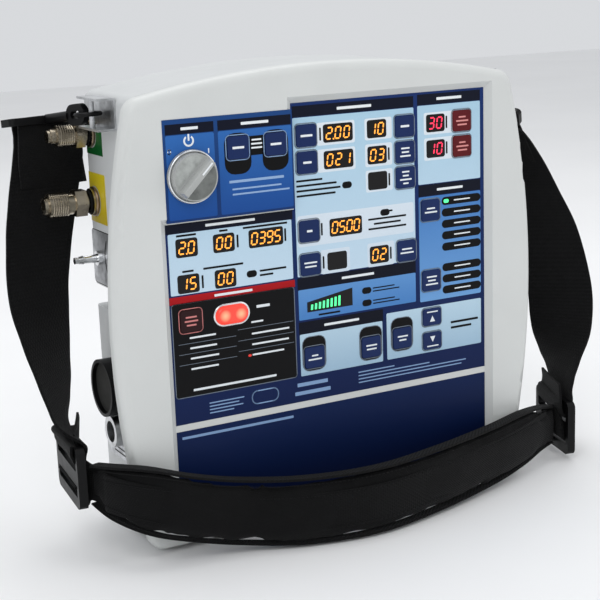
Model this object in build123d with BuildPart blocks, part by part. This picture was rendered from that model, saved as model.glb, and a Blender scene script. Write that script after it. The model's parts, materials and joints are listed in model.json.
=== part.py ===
"""Portable transport ventilator: a moulded case with a control panel, gas fittings and a shoulder strap.

Millimetres. +Z is up, the control panel faces -Y, and the gas fittings are on the -X side.
The origin is the centre of the underside of the rubber base pad that the case stands on.
"""

import os
from math import cos, radians, sin

from build123d import *

os.makedirs("parts", exist_ok=True)


def save(piece, label):
    """Name a finished piece and write it as its own STEP file."""
    piece.part.label = label
    export_step(piece.part, f"parts/{label}.step")


def front_plane(y):
    """A drawing plane that faces the viewer of the panel: local X is +X, local Y is +Z."""
    return Plane(origin=(0, y, 0), x_dir=(1, 0, 0), z_dir=(0, -1, 0))


def side_plane(x):
    """A drawing plane across the case: local X is +Y, local Y is +Z, and it faces +X."""
    return Plane(origin=(x, 0, 0), x_dir=(0, 1, 0), z_dir=(1, 0, 0))


# ---------------------------------------------------------------- driving dimensions: case
wall = 3.0
bezel_wall = 5.0
front_y = -55.0          # front face of the bezel
split_y = -45.0          # where the bezel meets the rear case
back_y = 38.0            # back wall of the rear case
base_z = 2.0             # underside of the case, on a 2 mm rubber pad
top_z = 318.0            # top of the arch
shoulder_z = 301.7       # where the arch meets the bowed sides
bow_z = 151.0            # height of the widest point of the bowed sides
bezel_half = 146.5       # half width of the bezel at its corners
bow_half = 165.0         # half width of the bezel at the bow
case_half = 143.0        # half width of the rear case, whose sides are flat
case_shoulder_z = 302.6  # the same arch, at the rear case's corners
front_round = 6.0
back_round = 5.0

# ---------------------------------------------------------------- driving dimensions: panel
panel_half = 125.0
panel_top = 292.0
panel_y = -50.6          # face of the recessed panel
plate = 2.4              # thickness of the panel plate
recess_slope = 4.4       # the recess walls lean back at 45 degrees
block_right = -31.0      # right edge of the flush power and quick start block
block_bottom = 222.5
block_top = 288.5
block_y = -55.3          # face of the flush block
block_plate = 2.0
strip_top = 86.0         # the bar of bezel between the main and the lower panel
strip_bottom = 81.5
lower_bottom = 20.0
seat = 2.8               # width of the ledge that a panel plate sits on
block_seat = 4.5
ledge = 2.0              # thickness of that ledge

# ---------------------------------------------------------------- driving dimensions: keys
key_w = 15.5
key_h = 15.0
key_gap = 0.3
key_proud = 1.2
key_travel = 0.6
flange_rim = 1.4
board_y = -42.4          # front of the display board

column_key_left, column_window_left = -20.0, 4.8
column_window_mid, column_key_mid = 35.4, 57.7
column_window_alarm, column_key_alarm = 83.7, 105.7
column_mode = 78.3
row_1, row_2, row_3, row_4, row_5 = 269.8, 251.8, 234.0, 205.2, 182.0

# name: (x, z, height, whether it sits in the flush block)
keys = {
    "key_adult": (-73.0, 267.0, key_h, True),
    "key_child": (-45.5, 267.0, key_h, True),
    "key_inspiratory_time": (column_key_left, row_1, key_h, False),
    "key_oxygen_percent": (column_key_left, row_2, key_h, False),
    "key_tidal_volume": (column_key_left, row_4, key_h, False),
    "key_pressure_support": (column_key_left, row_5, key_h, False),
    "key_breath_rate": (column_key_mid, row_1, key_h, False),
    "key_end_pressure": (column_key_mid, row_2, key_h, False),
    "key_peak_pressure": (column_key_mid, row_3, key_h, False),
    "key_trigger": (column_key_mid, row_5, key_h, False),
    "key_high_alarm": (column_key_alarm, row_1, key_h, False),
    "key_low_alarm": (column_key_alarm, row_2, key_h, False),
    "key_mode": (column_mode, 208.6, key_h, False),
    "key_custom_mode": (column_mode, 157.7, key_h, False),
    "key_alarm_silence": (-110.4, 156.0, key_h, False),
    "key_oxygen_flush": (-19.0, 116.5, key_h, False),
    "key_manual_breath": (26.7, 116.5, key_h, False),
    "key_control_lock": (52.8, 119.0, key_h, False),
    "key_increase": (column_mode, 130.8, 12.6, False),
    "key_decrease": (column_mode, 113.1, 12.6, False),
}

# ---------------------------------------------------------------- driving dimensions: displays
window_h = 11.2
two_digits, three_digits, four_digits = 14.2, 21.8, 24.4
# (x, z, width) of each numeric display
displays = [
    (-110.5, 204.8, two_digits),
    (-83.8, 204.8, two_digits),
    (-52.7, 204.8, four_digits),
    (-110.5, 180.9, two_digits),
    (-83.8, 180.9, two_digits),
    (column_window_left, row_1, three_digits),
    (column_window_left, row_2, three_digits),
    (9.0, row_4, four_digits),
    (1.4, row_5, two_digits),
    (column_window_mid, row_1, two_digits),
    (column_window_mid, row_2, two_digits),
    (column_window_mid, row_3, two_digits),
    (column_window_mid, row_5, two_digits),
    (column_window_alarm, row_1, two_digits),
    (column_window_alarm, row_2, two_digits),
]
# small oval lenses: spontaneous breath, oxygen limit, volume limit, mains power, charging
ovals = [(-64.4, 181.4), (10.8, 233.5), (40.7, 211.2), (24.4, 157.6), (24.4, 148.7)]
oval_w, oval_h = 6.8, 3.8
lens = 1.3
tab_led_x = 92.0
mode_rows = [213.7 - 8.3 * i for i in range(5)] + [165.5 - 8.25 * i for i in range(3)]
tab_led_r = 1.3
gauge_x, gauge_z = -5.3, 154.3
gauge_w, gauge_low, gauge_high = 36.0, 7.0, 12.5
gauge_low_edge = -gauge_low / 2 - 2.0
gauge_corners = [
    (-gauge_w / 2, gauge_low_edge),
    (gauge_w / 2, gauge_low_edge),
    (gauge_w / 2, gauge_low_edge + gauge_high),
    (-gauge_w / 2, gauge_low_edge + gauge_low),
]
lamp_x, lamp_z, lamp_w, lamp_h = -80.7, 156.2, 24.0, 12.7

# ---------------------------------------------------------------- driving dimensions: knob
knob_x, knob_z = -106.4, 251.4
knob_skirt_r, knob_r = 17.4, 15.6
shaft_r = 3.0
shaft_clearance = 0.05

# ---------------------------------------------------------------- driving dimensions: left side
fitting_y = 25.0
oxygen_z, air_z, pressure_z = 275.5, 229.5, 190.0
intake_y, intake_z, intake_r, intake_out = 3.0, 104.5, 19.9, 13.0
outlet_y, outlet_z, outlet_r, outlet_bore, outlet_out = 4.0, 72.2, 11.0, 7.5, 8.0
notch_low, notch_high, notch_depth = 155.5, 171.0, 22.0
notch_front_y = -28.0     # front end of the channel in the left side

# ================================================================ outlines that several pieces share
def bezel_outline(inset):
    """The bowed outline of the bezel, drawn in by the inset all round."""
    half, bow, low = bezel_half - inset, bow_half - inset, base_z + inset
    with BuildSketch() as shape:
        with BuildLine():
            Line((-half, low), (half, low))
            ThreePointArc((half, low), (bow, bow_z), (half, shoulder_z - inset))
            ThreePointArc((half, shoulder_z - inset), (0, top_z - inset), (-half, shoulder_z - inset))
            ThreePointArc((-half, shoulder_z - inset), (-bow, bow_z), (-half, low))
        make_face()
        fillet(shape.vertices(), 12 - inset)
    return shape.sketch


def case_outline(inset):
    """The flat-sided outline of the rear case, drawn in by the inset all round."""
    half, low, shoulder = case_half - inset, base_z + inset, case_shoulder_z - inset
    with BuildSketch() as shape:
        with BuildLine():
            Line((-half, low), (half, low))
            Line((half, low), (half, shoulder))
            ThreePointArc((half, shoulder), (0, top_z - inset), (-half, shoulder))
            Line((-half, shoulder), (-half, low))
        make_face()
        fillet(shape.vertices(), 7 - inset)
    return shape.sketch


# the main panel is L-shaped: it leaves out the flush block at its upper left
with BuildSketch() as main_shape:
    with BuildLine():
        Polyline(
            (-panel_half, strip_top),
            (panel_half, strip_top),
            (panel_half, panel_top),
            (block_right, panel_top),
            (block_right, block_bottom - 1.5),
            (-panel_half, block_bottom - 1.5),
            close=True,
        )
    make_face()

with BuildSketch() as lower_shape:
    with Locations((0, (lower_bottom + strip_bottom) / 2)):
        Rectangle(2 * panel_half, strip_bottom - lower_bottom)

with BuildSketch() as block_shape:
    with Locations(((block_right - 1.5 - panel_half) / 2, (block_bottom + block_top) / 2)):
        Rectangle(block_right - 1.5 + panel_half, block_top - block_bottom)

# the whole recess: main panel, bar and lower panel together
with BuildSketch() as recess_shape:
    add(main_shape.sketch)
    with Locations((0, (lower_bottom + strip_top) / 2)):
        Rectangle(2 * panel_half, strip_top - lower_bottom)

# ================================================================ front bezel
with BuildPart() as front_bezel:
    with BuildSketch(front_plane(split_y)):
        add(bezel_outline(0))
    extrude(amount=split_y - front_y)
    fillet(front_bezel.faces().sort_by(Axis.Y)[0].edges(), front_round)
    # the hollow behind the front wall, open at the back
    with BuildSketch(front_plane(split_y)):
        add(bezel_outline(bezel_wall))
    extrude(amount=split_y - front_y - wall - 0.5, mode=Mode.SUBTRACT)
    # the flange at the back that the narrower rear case is screwed to
    with BuildSketch(front_plane(split_y)):
        add(bezel_outline(0))
        add(case_outline(wall + 1), mode=Mode.SUBTRACT)
    extrude(amount=wall)
    # the tub that carries the recessed panels
    with BuildSketch(front_plane(panel_y + plate + ledge)):
        add(recess_shape.sketch)
        offset(amount=recess_slope + 3.0, mode=Mode.REPLACE, kind=Kind.INTERSECTION)
    extrude(amount=panel_y + plate + ledge - front_y - wall)
    with BuildSketch(front_plane(panel_y)):
        add(recess_shape.sketch)
    extrude(amount=panel_y - front_y, taper=-45, mode=Mode.SUBTRACT)
    # seats for the plates, and the windows behind them
    with BuildSketch(front_plane(panel_y + plate)):
        add(main_shape.sketch)
        add(lower_shape.sketch)
    extrude(amount=plate, mode=Mode.SUBTRACT)
    with BuildSketch(front_plane(panel_y + plate + ledge + 1)):
        add(main_shape.sketch)
        offset(amount=-seat, mode=Mode.REPLACE, kind=Kind.INTERSECTION)
    extrude(amount=ledge + 2, mode=Mode.SUBTRACT)
    # the flush block's seat and window
    with BuildSketch(front_plane(block_y + block_plate)):
        add(block_shape.sketch)
    extrude(amount=block_plate, mode=Mode.SUBTRACT)
    with BuildSketch(front_plane(panel_y + plate + ledge + 1)):
        add(block_shape.sketch)
        offset(amount=-block_seat, mode=Mode.REPLACE, kind=Kind.INTERSECTION)
    extrude(amount=plate + ledge + 8, mode=Mode.SUBTRACT)
save(front_bezel, "front_bezel")

# ================================================================ panel plates
with BuildPart() as control_panel:
    with BuildSketch(front_plane(panel_y + plate)) as control_face:
        add(main_shape.sketch)
        offset(amount=-0.1, mode=Mode.REPLACE, kind=Kind.INTERSECTION)
        for x, z, width in displays:
            with Locations((x, z)):
                Rectangle(width + 0.2, window_h + 0.2, mode=Mode.SUBTRACT)
        for x, z, height, in_block in keys.values():
            if not in_block:
                with Locations((x, z)):
                    RectangleRounded(key_w + 2 * key_gap, height + 2 * key_gap, 2.3, mode=Mode.SUBTRACT)
        with Locations((lamp_x, lamp_z)):
            SlotOverall(lamp_w, lamp_h, mode=Mode.SUBTRACT)
    extrude(amount=plate)
    # shallow pockets that the small lenses are glued into
    with BuildSketch(front_plane(panel_y + lens)):
        with Locations(*ovals):
            Ellipse(oval_w / 2, oval_h / 2)
        with Locations(*[(tab_led_x, z) for z in mode_rows]):
            Circle(tab_led_r)
        with Locations((gauge_x, gauge_z)):
            Polygon(*gauge_corners, align=None)
    extrude(amount=lens, mode=Mode.SUBTRACT)
save(control_panel, "control_panel")

with BuildPart() as quick_start_panel:
    with BuildSketch(front_plane(block_y + block_plate)):
        add(block_shape.sketch)
        offset(amount=-0.1, mode=Mode.REPLACE, kind=Kind.INTERSECTION)
        for x, z, height, in_block in keys.values():
            if in_block:
                with Locations((x, z)):
                    RectangleRounded(key_w + 2 * key_gap, height + 2 * key_gap, 2.3, mode=Mode.SUBTRACT)
        with Locations((knob_x, knob_z)):
            Circle(shaft_r + 1.0, mode=Mode.SUBTRACT)
    extrude(amount=block_plate)
save(quick_start_panel, "quick_start_panel")

with BuildPart() as lower_panel:
    with BuildSketch(front_plane(panel_y + plate)):
        add(lower_shape.sketch)
        offset(amount=-0.1, mode=Mode.REPLACE, kind=Kind.INTERSECTION)
    extrude(amount=plate)
save(lower_panel, "lower_panel")

# ================================================================ displays, lenses and lamp
with BuildPart() as digit_displays:
    with BuildSketch(front_plane(board_y)):
        for x, z, width in displays:
            with Locations((x, z)):
                Rectangle(width, window_h)
    extrude(amount=board_y - panel_y - 0.2)
save(digit_displays, "digit_displays")

with BuildPart() as indicator_lenses:
    with BuildSketch(front_plane(panel_y + lens)):
        with Locations(*ovals):
            Ellipse(oval_w / 2, oval_h / 2)
        with Locations(*[(tab_led_x, z) for z in mode_rows]):
            Circle(tab_led_r)
        with Locations((gauge_x, gauge_z)):
            Polygon(*gauge_corners, align=None)
    extrude(amount=lens + 0.1)
save(indicator_lenses, "indicator_lenses")

with BuildPart() as alarm_lamp:
    with BuildSketch(front_plane(board_y)):
        with Locations((lamp_x, lamp_z)):
            SlotOverall(lamp_w - 0.2, lamp_h - 0.2)
    extrude(amount=board_y - panel_y + 3.2)
    fillet(alarm_lamp.faces().sort_by(Axis.Y)[0].edges(), 2.6)
save(alarm_lamp, "alarm_lamp")

# ================================================================ keys, each on its own travel
for name, (x, z, height, in_block) in keys.items():
    plate_front = block_y if in_block else panel_y
    plate_back = block_y + block_plate if in_block else panel_y + plate
    flange_front = plate_back + 0.3
    with BuildPart() as key:
        with BuildSketch(front_plane(flange_front)):
            with Locations((x, z)):
                RectangleRounded(key_w, height, 2.0)
        extrude(amount=flange_front - plate_front + key_proud)
        fillet(key.faces().sort_by(Axis.Y)[0].edges(), 0.5)
        with BuildSketch(front_plane(flange_front + 1.0)):
            with Locations((x, z)):
                Rectangle(key_w, height + 2 * flange_rim)
        extrude(amount=1.0)
        with BuildSketch(front_plane(board_y - key_travel - 0.3)):
            with Locations((x, z)):
                Circle(2.5)
        extrude(amount=board_y - key_travel - 0.3 - flange_front - 1.0)
    save(key, name)

# ================================================================ power knob and switch
with BuildPart() as power_knob:
    with BuildSketch(front_plane(block_y - 0.5)):
        with Locations((knob_x, knob_z)):
            Circle(knob_skirt_r)
    extrude(amount=1.6)
    with BuildSketch(front_plane(block_y - 2.1)):
        with Locations((knob_x, knob_z)):
            Circle(knob_r)
    extrude(amount=5.0, taper=4)
    # the grip is a bar across the face, pointing to the upper right when the power is on
    with BuildSketch(front_plane(block_y - 7.1)):
        with Locations(Location((knob_x, knob_z), 45)):
            Rectangle(2 * knob_r - 1.6, 5.4)
    extrude(amount=6.0, taper=6)
    fillet(power_knob.faces().sort_by(Axis.Y)[0].edges(), 0.8)
    with BuildSketch(front_plane(block_y + block_plate + 8.0)):
        with Locations((knob_x, knob_z)):
            Circle(shaft_r)
    extrude(amount=block_plate + 8.5)
save(power_knob, "power_knob")

with BuildPart() as power_switch:
    with BuildSketch(front_plane(board_y - 1.0)):
        with Locations((knob_x, knob_z)):
            Circle(12.0)
    extrude(amount=board_y - 1.0 - block_y - block_plate)
    with BuildSketch(front_plane(block_y + block_plate + 8.5)):
        with Locations((knob_x, knob_z)):
            Circle(shaft_r + shaft_clearance)
    extrude(amount=8.5, mode=Mode.SUBTRACT)
save(power_switch, "power_switch")

# ================================================================ circuit boards
with BuildPart() as display_board:
    with BuildSketch(front_plane(board_y + 1.6)):
        with Locations((0, 190)):
            RectangleRounded(244, 192, 4)
    extrude(amount=1.6)
save(display_board, "display_board")

with BuildPart() as main_board:
    with BuildSketch(front_plane(-31.0)):
        with Locations((5, 218)):
            RectangleRounded(200, 126, 4)
    extrude(amount=1.6)
    with BuildSketch(front_plane(-31.0)):
        with Locations((-50, 240), (0, 205), (62, 190)):
            Rectangle(24, 24)
        with GridLocations(22, 0, 4, 1):
            with Locations((10, 262)):
                Circle(6)
    extrude(amount=-6.0)
save(main_board, "main_board")

# ================================================================ rear case
with BuildPart() as rear_case:
    with BuildSketch(front_plane(back_y)):
        add(case_outline(0))
    extrude(amount=back_y - split_y)
    fillet(rear_case.faces().sort_by(Axis.Y)[-1].edges(), back_round)
    with BuildSketch(front_plane(back_y - wall)):
        add(case_outline(wall))
        # the walls of the side channel stay
        with Locations((-case_half + notch_depth / 2, (notch_low + notch_high) / 2)):
            Rectangle(notch_depth + 2 * wall, notch_high - notch_low + 2 * wall, mode=Mode.SUBTRACT)
    extrude(amount=back_y - notch_front_y, mode=Mode.SUBTRACT)
    with BuildSketch(front_plane(notch_front_y - wall)):
        add(case_outline(wall))
    extrude(amount=notch_front_y - wall - split_y, mode=Mode.SUBTRACT)
    # the open channel in the left side, where a gas hose is led to the back
    with BuildSketch(front_plane(back_y + 1)):
        with Locations((-case_half + notch_depth / 2 - 1, (notch_low + notch_high) / 2)):
            Rectangle(notch_depth + 2, notch_high - notch_low)
    extrude(amount=back_y + 1 - notch_front_y, mode=Mode.SUBTRACT)
    # holes in the left side for the gas ports
    with BuildSketch(side_plane(-case_half - 1)):
        with Locations((fitting_y, oxygen_z), (fitting_y, air_z)):
            Circle(6.0)
        with Locations((fitting_y, pressure_z)):
            Circle(3.0)
        with Locations((intake_y, intake_z)):
            Circle(16.0)
        with Locations((outlet_y, outlet_z)):
            Circle(9.0)
    extrude(amount=wall + 2, mode=Mode.SUBTRACT)
    # the right side: power inlet, and small holes in front of the speaker
    with BuildSketch(side_plane(case_half + 1)):
        with Locations((0, 60)):
            Circle(8.0)
        with Locations((0, 215)):
            with GridLocations(7, 7, 4, 4):
                Circle(1.6)
    extrude(amount=-wall - 2, mode=Mode.SUBTRACT)
    # the back: a service opening and the battery bay
    with BuildSketch(front_plane(back_y + 1)):
        with Locations((0, 222)):
            RectangleRounded(190, 120, 6)
        with Locations((82, 47)):
            RectangleRounded(88, 70, 4)
    extrude(amount=wall + 2, mode=Mode.SUBTRACT)
    # screw pilots for the two covers
    with BuildSketch(front_plane(back_y + 1)):
        with Locations(*[(x, z) for x in (-102, 102) for z in (172, 272)]):
            Circle(1.6)
        with Locations((33, 47), (131, 47)):
            Circle(1.6)
    extrude(amount=wall + 2, mode=Mode.SUBTRACT)
save(rear_case, "rear_case")

# ================================================================ back covers and battery
with BuildPart() as rear_cover:
    with BuildSketch(front_plane(back_y)):
        with Locations((0, 222)):
            RectangleRounded(218, 136, 8)
    extrude(amount=-10)
    fillet(rear_cover.faces().sort_by(Axis.Y)[-1].edges(), 4)
    with BuildSketch(front_plane(back_y)):
        with Locations((0, 222)):
            RectangleRounded(186, 116, 5)
    extrude(amount=-7.5, mode=Mode.SUBTRACT)
    # louvres over the fan, and a second set on the other side
    with BuildSketch(front_plane(back_y + 5)):
        with Locations((52, 222), (-52, 222)):
            with GridLocations(0, 9, 1, 7):
                SlotOverall(56, 4)
    extrude(amount=-8, mode=Mode.SUBTRACT)
    with BuildSketch(front_plane(back_y - 1)):
        with Locations(*[(x, z) for x in (-102, 102) for z in (172, 272)]):
            Circle(1.8)
    extrude(amount=-12, mode=Mode.SUBTRACT)
save(rear_cover, "rear_cover")

with BuildPart() as battery_cover:
    with BuildSketch(front_plane(back_y)):
        with Locations((82, 47)):
            RectangleRounded(112, 82, 6)
    extrude(amount=-5)
    fillet(battery_cover.faces().sort_by(Axis.Y)[-1].edges(), 2)
    # finger ribs
    with BuildSketch(front_plane(back_y + 5)):
        with Locations((82, 72)):
            with GridLocations(0, 4, 1, 3):
                SlotOverall(50, 1.8)
    extrude(amount=-0.8)
    with BuildSketch(front_plane(back_y - 1)):
        with Locations((33, 47), (131, 47)):
            Circle(1.8)
    extrude(amount=-8, mode=Mode.SUBTRACT)
save(battery_cover, "battery_cover")

with BuildPart() as battery_pack:
    with BuildSketch(front_plane(30.0)):
        with Locations((82, 46)):
            RectangleRounded(82, 62, 3)
    extrude(amount=50.0)
save(battery_pack, "battery_pack")

with BuildPart() as base_pad:
    with BuildSketch(Plane.XY):
        with Locations((0, -5)):
            RectangleRounded(250, 74, 8)
    extrude(amount=base_z)
save(base_pad, "base_pad")

# ================================================================ case screws: six in the back
with BuildPart() as case_screws:
    for x in (-102, 102):
        for z in (172, 272):
            with BuildSketch(front_plane(back_y + 10)):
                with Locations((x, z)):
                    Circle(3.4)
                    RegularPolygon(1.5, 6, mode=Mode.SUBTRACT)
            extrude(amount=-1.6)
            with BuildSketch(front_plane(back_y + 10)):
                with Locations((x, z)):
                    Circle(1.4)
            extrude(amount=15)
    for x in (33, 131):
        with BuildSketch(front_plane(back_y + 5)):
            with Locations((x, 47)):
                Circle(3.4)
                RegularPolygon(1.5, 6, mode=Mode.SUBTRACT)
        extrude(amount=-1.6)
        with BuildSketch(front_plane(back_y + 5)):
            with Locations((x, 47)):
                Circle(1.4)
        extrude(amount=10)
save(case_screws, "case_screws")

# ================================================================ breathing gas: turbine, sensor and manifold
turbine_left, turbine_right, turbine_r = -100.0, -68.0, 31.0
with BuildPart() as turbine_housing:
    with BuildSketch(side_plane(turbine_left)):
        with Locations((intake_y, intake_z)):
            Circle(turbine_r)
    extrude(amount=turbine_right - turbine_left)
    # outlet leaving downwards from the rim
    with BuildSketch(Plane.XY.offset(62)):
        with Locations(((turbine_left + turbine_right) / 2, intake_y + 21)):
            Circle(9.0)
    extrude(amount=intake_z - 62)
    with BuildSketch(side_plane(turbine_left + 3)):
        with Locations((intake_y, intake_z)):
            Circle(turbine_r - 2.5)
    extrude(amount=turbine_right - turbine_left - 6, mode=Mode.SUBTRACT)
    with BuildSketch(side_plane(turbine_left - 1)):
        with Locations((intake_y, intake_z)):
            Circle(13.0)
    extrude(amount=6, mode=Mode.SUBTRACT)
    with BuildSketch(side_plane(turbine_right - 5)):
        with Locations((intake_y, intake_z)):
            Circle(3.5)
    extrude(amount=8, mode=Mode.SUBTRACT)
    with BuildSketch(Plane.XY.offset(61)):
        with Locations(((turbine_left + turbine_right) / 2, intake_y + 21)):
            Circle(6.5)
    extrude(amount=intake_z - 66, mode=Mode.SUBTRACT)
save(turbine_housing, "turbine_housing")

with BuildPart() as turbine_impeller:
    with BuildSketch(side_plane(turbine_right - 8)):
        with Locations((intake_y, intake_z)):
            Circle(26.0)
    extrude(amount=2.0)
    with BuildSketch(side_plane(turbine_left + 8)):
        with Locations((intake_y, intake_z)):
            Circle(6.0)
    extrude(amount=turbine_right - turbine_left - 14)
    # nine straight blades on the disc
    with BuildSketch(side_plane(turbine_left + 10)):
        with Locations((intake_y, intake_z)):
            with PolarLocations(15.5, 9):
                Rectangle(20, 1.6)
    extrude(amount=turbine_right - turbine_left - 17)
    with BuildSketch(side_plane(turbine_right - 7)):
        with Locations((intake_y, intake_z)):
            Circle(2.5)
    extrude(amount=27)
save(turbine_impeller, "turbine_impeller")

with BuildPart() as turbine_motor:
    with BuildSketch(side_plane(turbine_right)):
        with Locations((intake_y, intake_z)):
            Circle(18.0)
    extrude(amount=32)
    with BuildSketch(side_plane(turbine_right - 1)):
        with Locations((intake_y, intake_z)):
            Circle(2.5 + shaft_clearance)
    extrude(amount=24, mode=Mode.SUBTRACT)
save(turbine_motor, "turbine_motor")

with BuildPart() as flow_sensor:
    with BuildSketch(side_plane(-84)):
        with Locations((outlet_y, 40)):
            Circle(12.0)
    extrude(amount=48)
    with BuildSketch(side_plane(-90)):
        with Locations((outlet_y, 40)):
            Circle(7.5)
    extrude(amount=65.8)
    with BuildSketch(side_plane(-91)):
        with Locations((outlet_y, 40)):
            Circle(5.5)
    extrude(amount=68, mode=Mode.SUBTRACT)
save(flow_sensor, "flow_sensor")

with BuildPart() as gas_manifold:
    with BuildSketch(Plane.XY.offset(26)):
        with Locations((1, 12)):
            Rectangle(50, 44)
    extrude(amount=62)
    fillet(gas_manifold.edges().filter_by(Axis.Z), 3)
save(gas_manifold, "gas_manifold")

with BuildPart() as solenoid_valves:
    with BuildSketch(side_plane(-126)):
        with Locations((20, oxygen_z), (20, air_z)):
            Circle(13.0)
    extrude(amount=44)
    with BuildSketch(Plane.XY.offset(88.2)):
        with Locations((4, 1)):
            Circle(10.0)
    extrude(amount=30)
save(solenoid_valves, "solenoid_valves")

# three air tubes of silicone, each swept along runs joined by tangent arcs
tube_routes = [
    # patient outlet to flow sensor
    ([(-124, 4, outlet_z), (-106, 4, outlet_z), (-106, 4, 40), (-90.2, 4, 40)], [12, 12], 8.6),
    # turbine outlet to manifold
    ([(-84, 24, 61.8), (-84, 24, 48), (-24.2, 24, 48)], [13], 8.6),
    # oxygen valve to manifold
    ([(-81.8, 20, oxygen_z), (12, 20, oxygen_z), (12, 20, 88.2)], [14], 3.6),
    # air valve to manifold
    ([(-81.8, 20, air_z), (-4, 20, air_z), (-4, 20, 88.2)], [14], 3.6),
]
with BuildPart() as air_tubes:
    for points, radii, tube_r in tube_routes:
        with BuildLine() as route:
            FilletPolyline(*points, radius=radii)
        with BuildSketch(Plane(origin=route.line @ 0, z_dir=route.line % 0)):
            Circle(tube_r)
        sweep(path=route.line)
save(air_tubes, "air_tubes")

# ================================================================ cooling fan and speaker
fan_x, fan_z = 52.0, 222.0
with BuildPart() as fan_frame:
    with BuildSketch(front_plane(back_y + 7.0)):
        with Locations((fan_x, fan_z)):
            RectangleRounded(60, 60, 4)
            Circle(27.5, mode=Mode.SUBTRACT)
    extrude(amount=20)
    with BuildSketch(front_plane(back_y - 13.0)):
        with Locations((fan_x, fan_z)):
            Circle(14)
            with PolarLocations(20, 3, start_angle=30):
                Rectangle(16, 4)
    extrude(amount=2)
save(fan_frame, "fan_frame")

with BuildPart() as fan_rotor:
    with BuildSketch(front_plane(back_y + 5.0)):
        with Locations((fan_x, fan_z)):
            Circle(13)
    extrude(amount=17)
    with BuildSketch(front_plane(back_y + 4.0)):
        with Locations((fan_x, fan_z)):
            with PolarLocations(19, 7):
                Rectangle(15, 2.2, rotation=12)
    extrude(amount=13)
save(fan_rotor, "fan_rotor")

with BuildPart() as speaker:
    with BuildSketch(side_plane(case_half - wall)):
        with Locations((0, 215)):
            Circle(20)
    extrude(amount=-5)
    with BuildSketch(side_plane(case_half - wall - 5)):
        with Locations((0, 215)):
            Circle(11)
    extrude(amount=-9)
save(speaker, "speaker")

# ================================================================ ports on the left side
port_x = -case_half

with BuildPart() as oxygen_inlet:
    # collar, hexagon, threaded neck and bored nose
    for start, length, radius in ((0, 2.5, 9.0), (2.5, 3.5, 6.4), (12.5, 12.5, 6.9), (25, 4.0, 5.0), (29, 2.0, 4.2)):
        with BuildSketch(side_plane(port_x - start)):
            with Locations((fitting_y, oxygen_z)):
                Circle(radius)
        extrude(amount=-length)
    with BuildSketch(side_plane(port_x - 6)):
        with Locations((fitting_y, oxygen_z)):
            RegularPolygon(8.4, 6, major_radius=False)
    extrude(amount=-6.5)
    with BuildSketch(side_plane(port_x + wall + 3)):
        with Locations((fitting_y, oxygen_z)):
            Circle(6.0)
    extrude(amount=-wall - 3)
    with BuildSketch(side_plane(port_x - 32)):
        with Locations((fitting_y, oxygen_z)):
            Circle(2.4)
    extrude(amount=36, mode=Mode.SUBTRACT)
save(oxygen_inlet, "oxygen_inlet")

with BuildPart() as air_inlet:
    for start, length, radius in ((0, 4.0, 9.0), (4, 4.0, 5.6), (16, 4.5, 7.2), (20.5, 13.5, 8.0), (34, 3.0, 5.8)):
        with BuildSketch(side_plane(port_x - start)):
            with Locations((fitting_y, air_z)):
                Circle(radius)
        extrude(amount=-length)
    with BuildSketch(side_plane(port_x - 8)):
        with Locations((fitting_y, air_z)):
            RegularPolygon(8.6, 6, major_radius=False)
    extrude(amount=-8.0)
    with BuildSketch(side_plane(port_x + wall + 3)):
        with Locations((fitting_y, air_z)):
            Circle(6.0)
    extrude(amount=-wall - 3)
    with BuildSketch(side_plane(port_x - 38)):
        with Locations((fitting_y, air_z)):
            Circle(2.8)
    extrude(amount=42, mode=Mode.SUBTRACT)
save(air_inlet, "air_inlet")

with BuildPart() as pressure_port:
    # a hose barb: base, tapered stem and two ridges
    with BuildSketch(side_plane(port_x)):
        with Locations((fitting_y, pressure_z)):
            Circle(5.0)
    extrude(amount=-2.0)
    with BuildSketch(side_plane(port_x - 2.0)):
        with Locations((fitting_y, pressure_z)):
            Circle(3.0)
    extrude(amount=-16.0, taper=2.5)
    with BuildSketch(side_plane(port_x - 12.0)):
        with Locations((fitting_y, pressure_z)):
            Circle(3.1)
    extrude(amount=-3.0, taper=10)
    with BuildSketch(side_plane(port_x + wall + 2)):
        with Locations((fitting_y, pressure_z)):
            Circle(3.0)
    extrude(amount=-wall - 2)
    with BuildSketch(side_plane(port_x - 19)):
        with Locations((fitting_y, pressure_z)):
            Circle(1.2)
    extrude(amount=30, mode=Mode.SUBTRACT)
save(pressure_port, "pressure_port")

with BuildPart() as intake_port:
    with BuildSketch(side_plane(port_x)):
        with Locations((intake_y, intake_z)):
            Circle(intake_r)
    extrude(amount=-intake_out)
    with BuildSketch(side_plane(port_x)):
        with Locations((intake_y, intake_z)):
            Circle(16.0)
    extrude(amount=turbine_left - port_x - 0.2)
    with BuildSketch(side_plane(port_x - intake_out)):
        with Locations((intake_y, intake_z)):
            Circle(17.6)
    extrude(amount=9.0, mode=Mode.SUBTRACT)
    with BuildSketch(side_plane(port_x - intake_out)):
        with Locations((intake_y, intake_z)):
            Circle(13.0)
    extrude(amount=intake_out - port_x + turbine_left + 2, mode=Mode.SUBTRACT)
save(intake_port, "intake_port")

with BuildPart() as intake_filter:
    with BuildSketch(side_plane(port_x - intake_out + 3.0)):
        with Locations((intake_y, intake_z)):
            Circle(17.5)
    extrude(amount=6.0)
save(intake_filter, "intake_filter")

with BuildPart() as patient_outlet:
    with BuildSketch(side_plane(port_x)):
        with Locations((outlet_y, outlet_z)):
            Circle(outlet_r)
    extrude(amount=-outlet_out)
    with BuildSketch(side_plane(port_x)):
        with Locations((outlet_y, outlet_z)):
            Circle(9.0)
    extrude(amount=-port_x - 124.2)
    with BuildSketch(side_plane(port_x - outlet_out - 1)):
        with Locations((outlet_y, outlet_z)):
            Circle(outlet_bore)
    extrude(amount=outlet_out + 1 - port_x - 124 + 1, mode=Mode.SUBTRACT)
save(patient_outlet, "patient_outlet")

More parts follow.
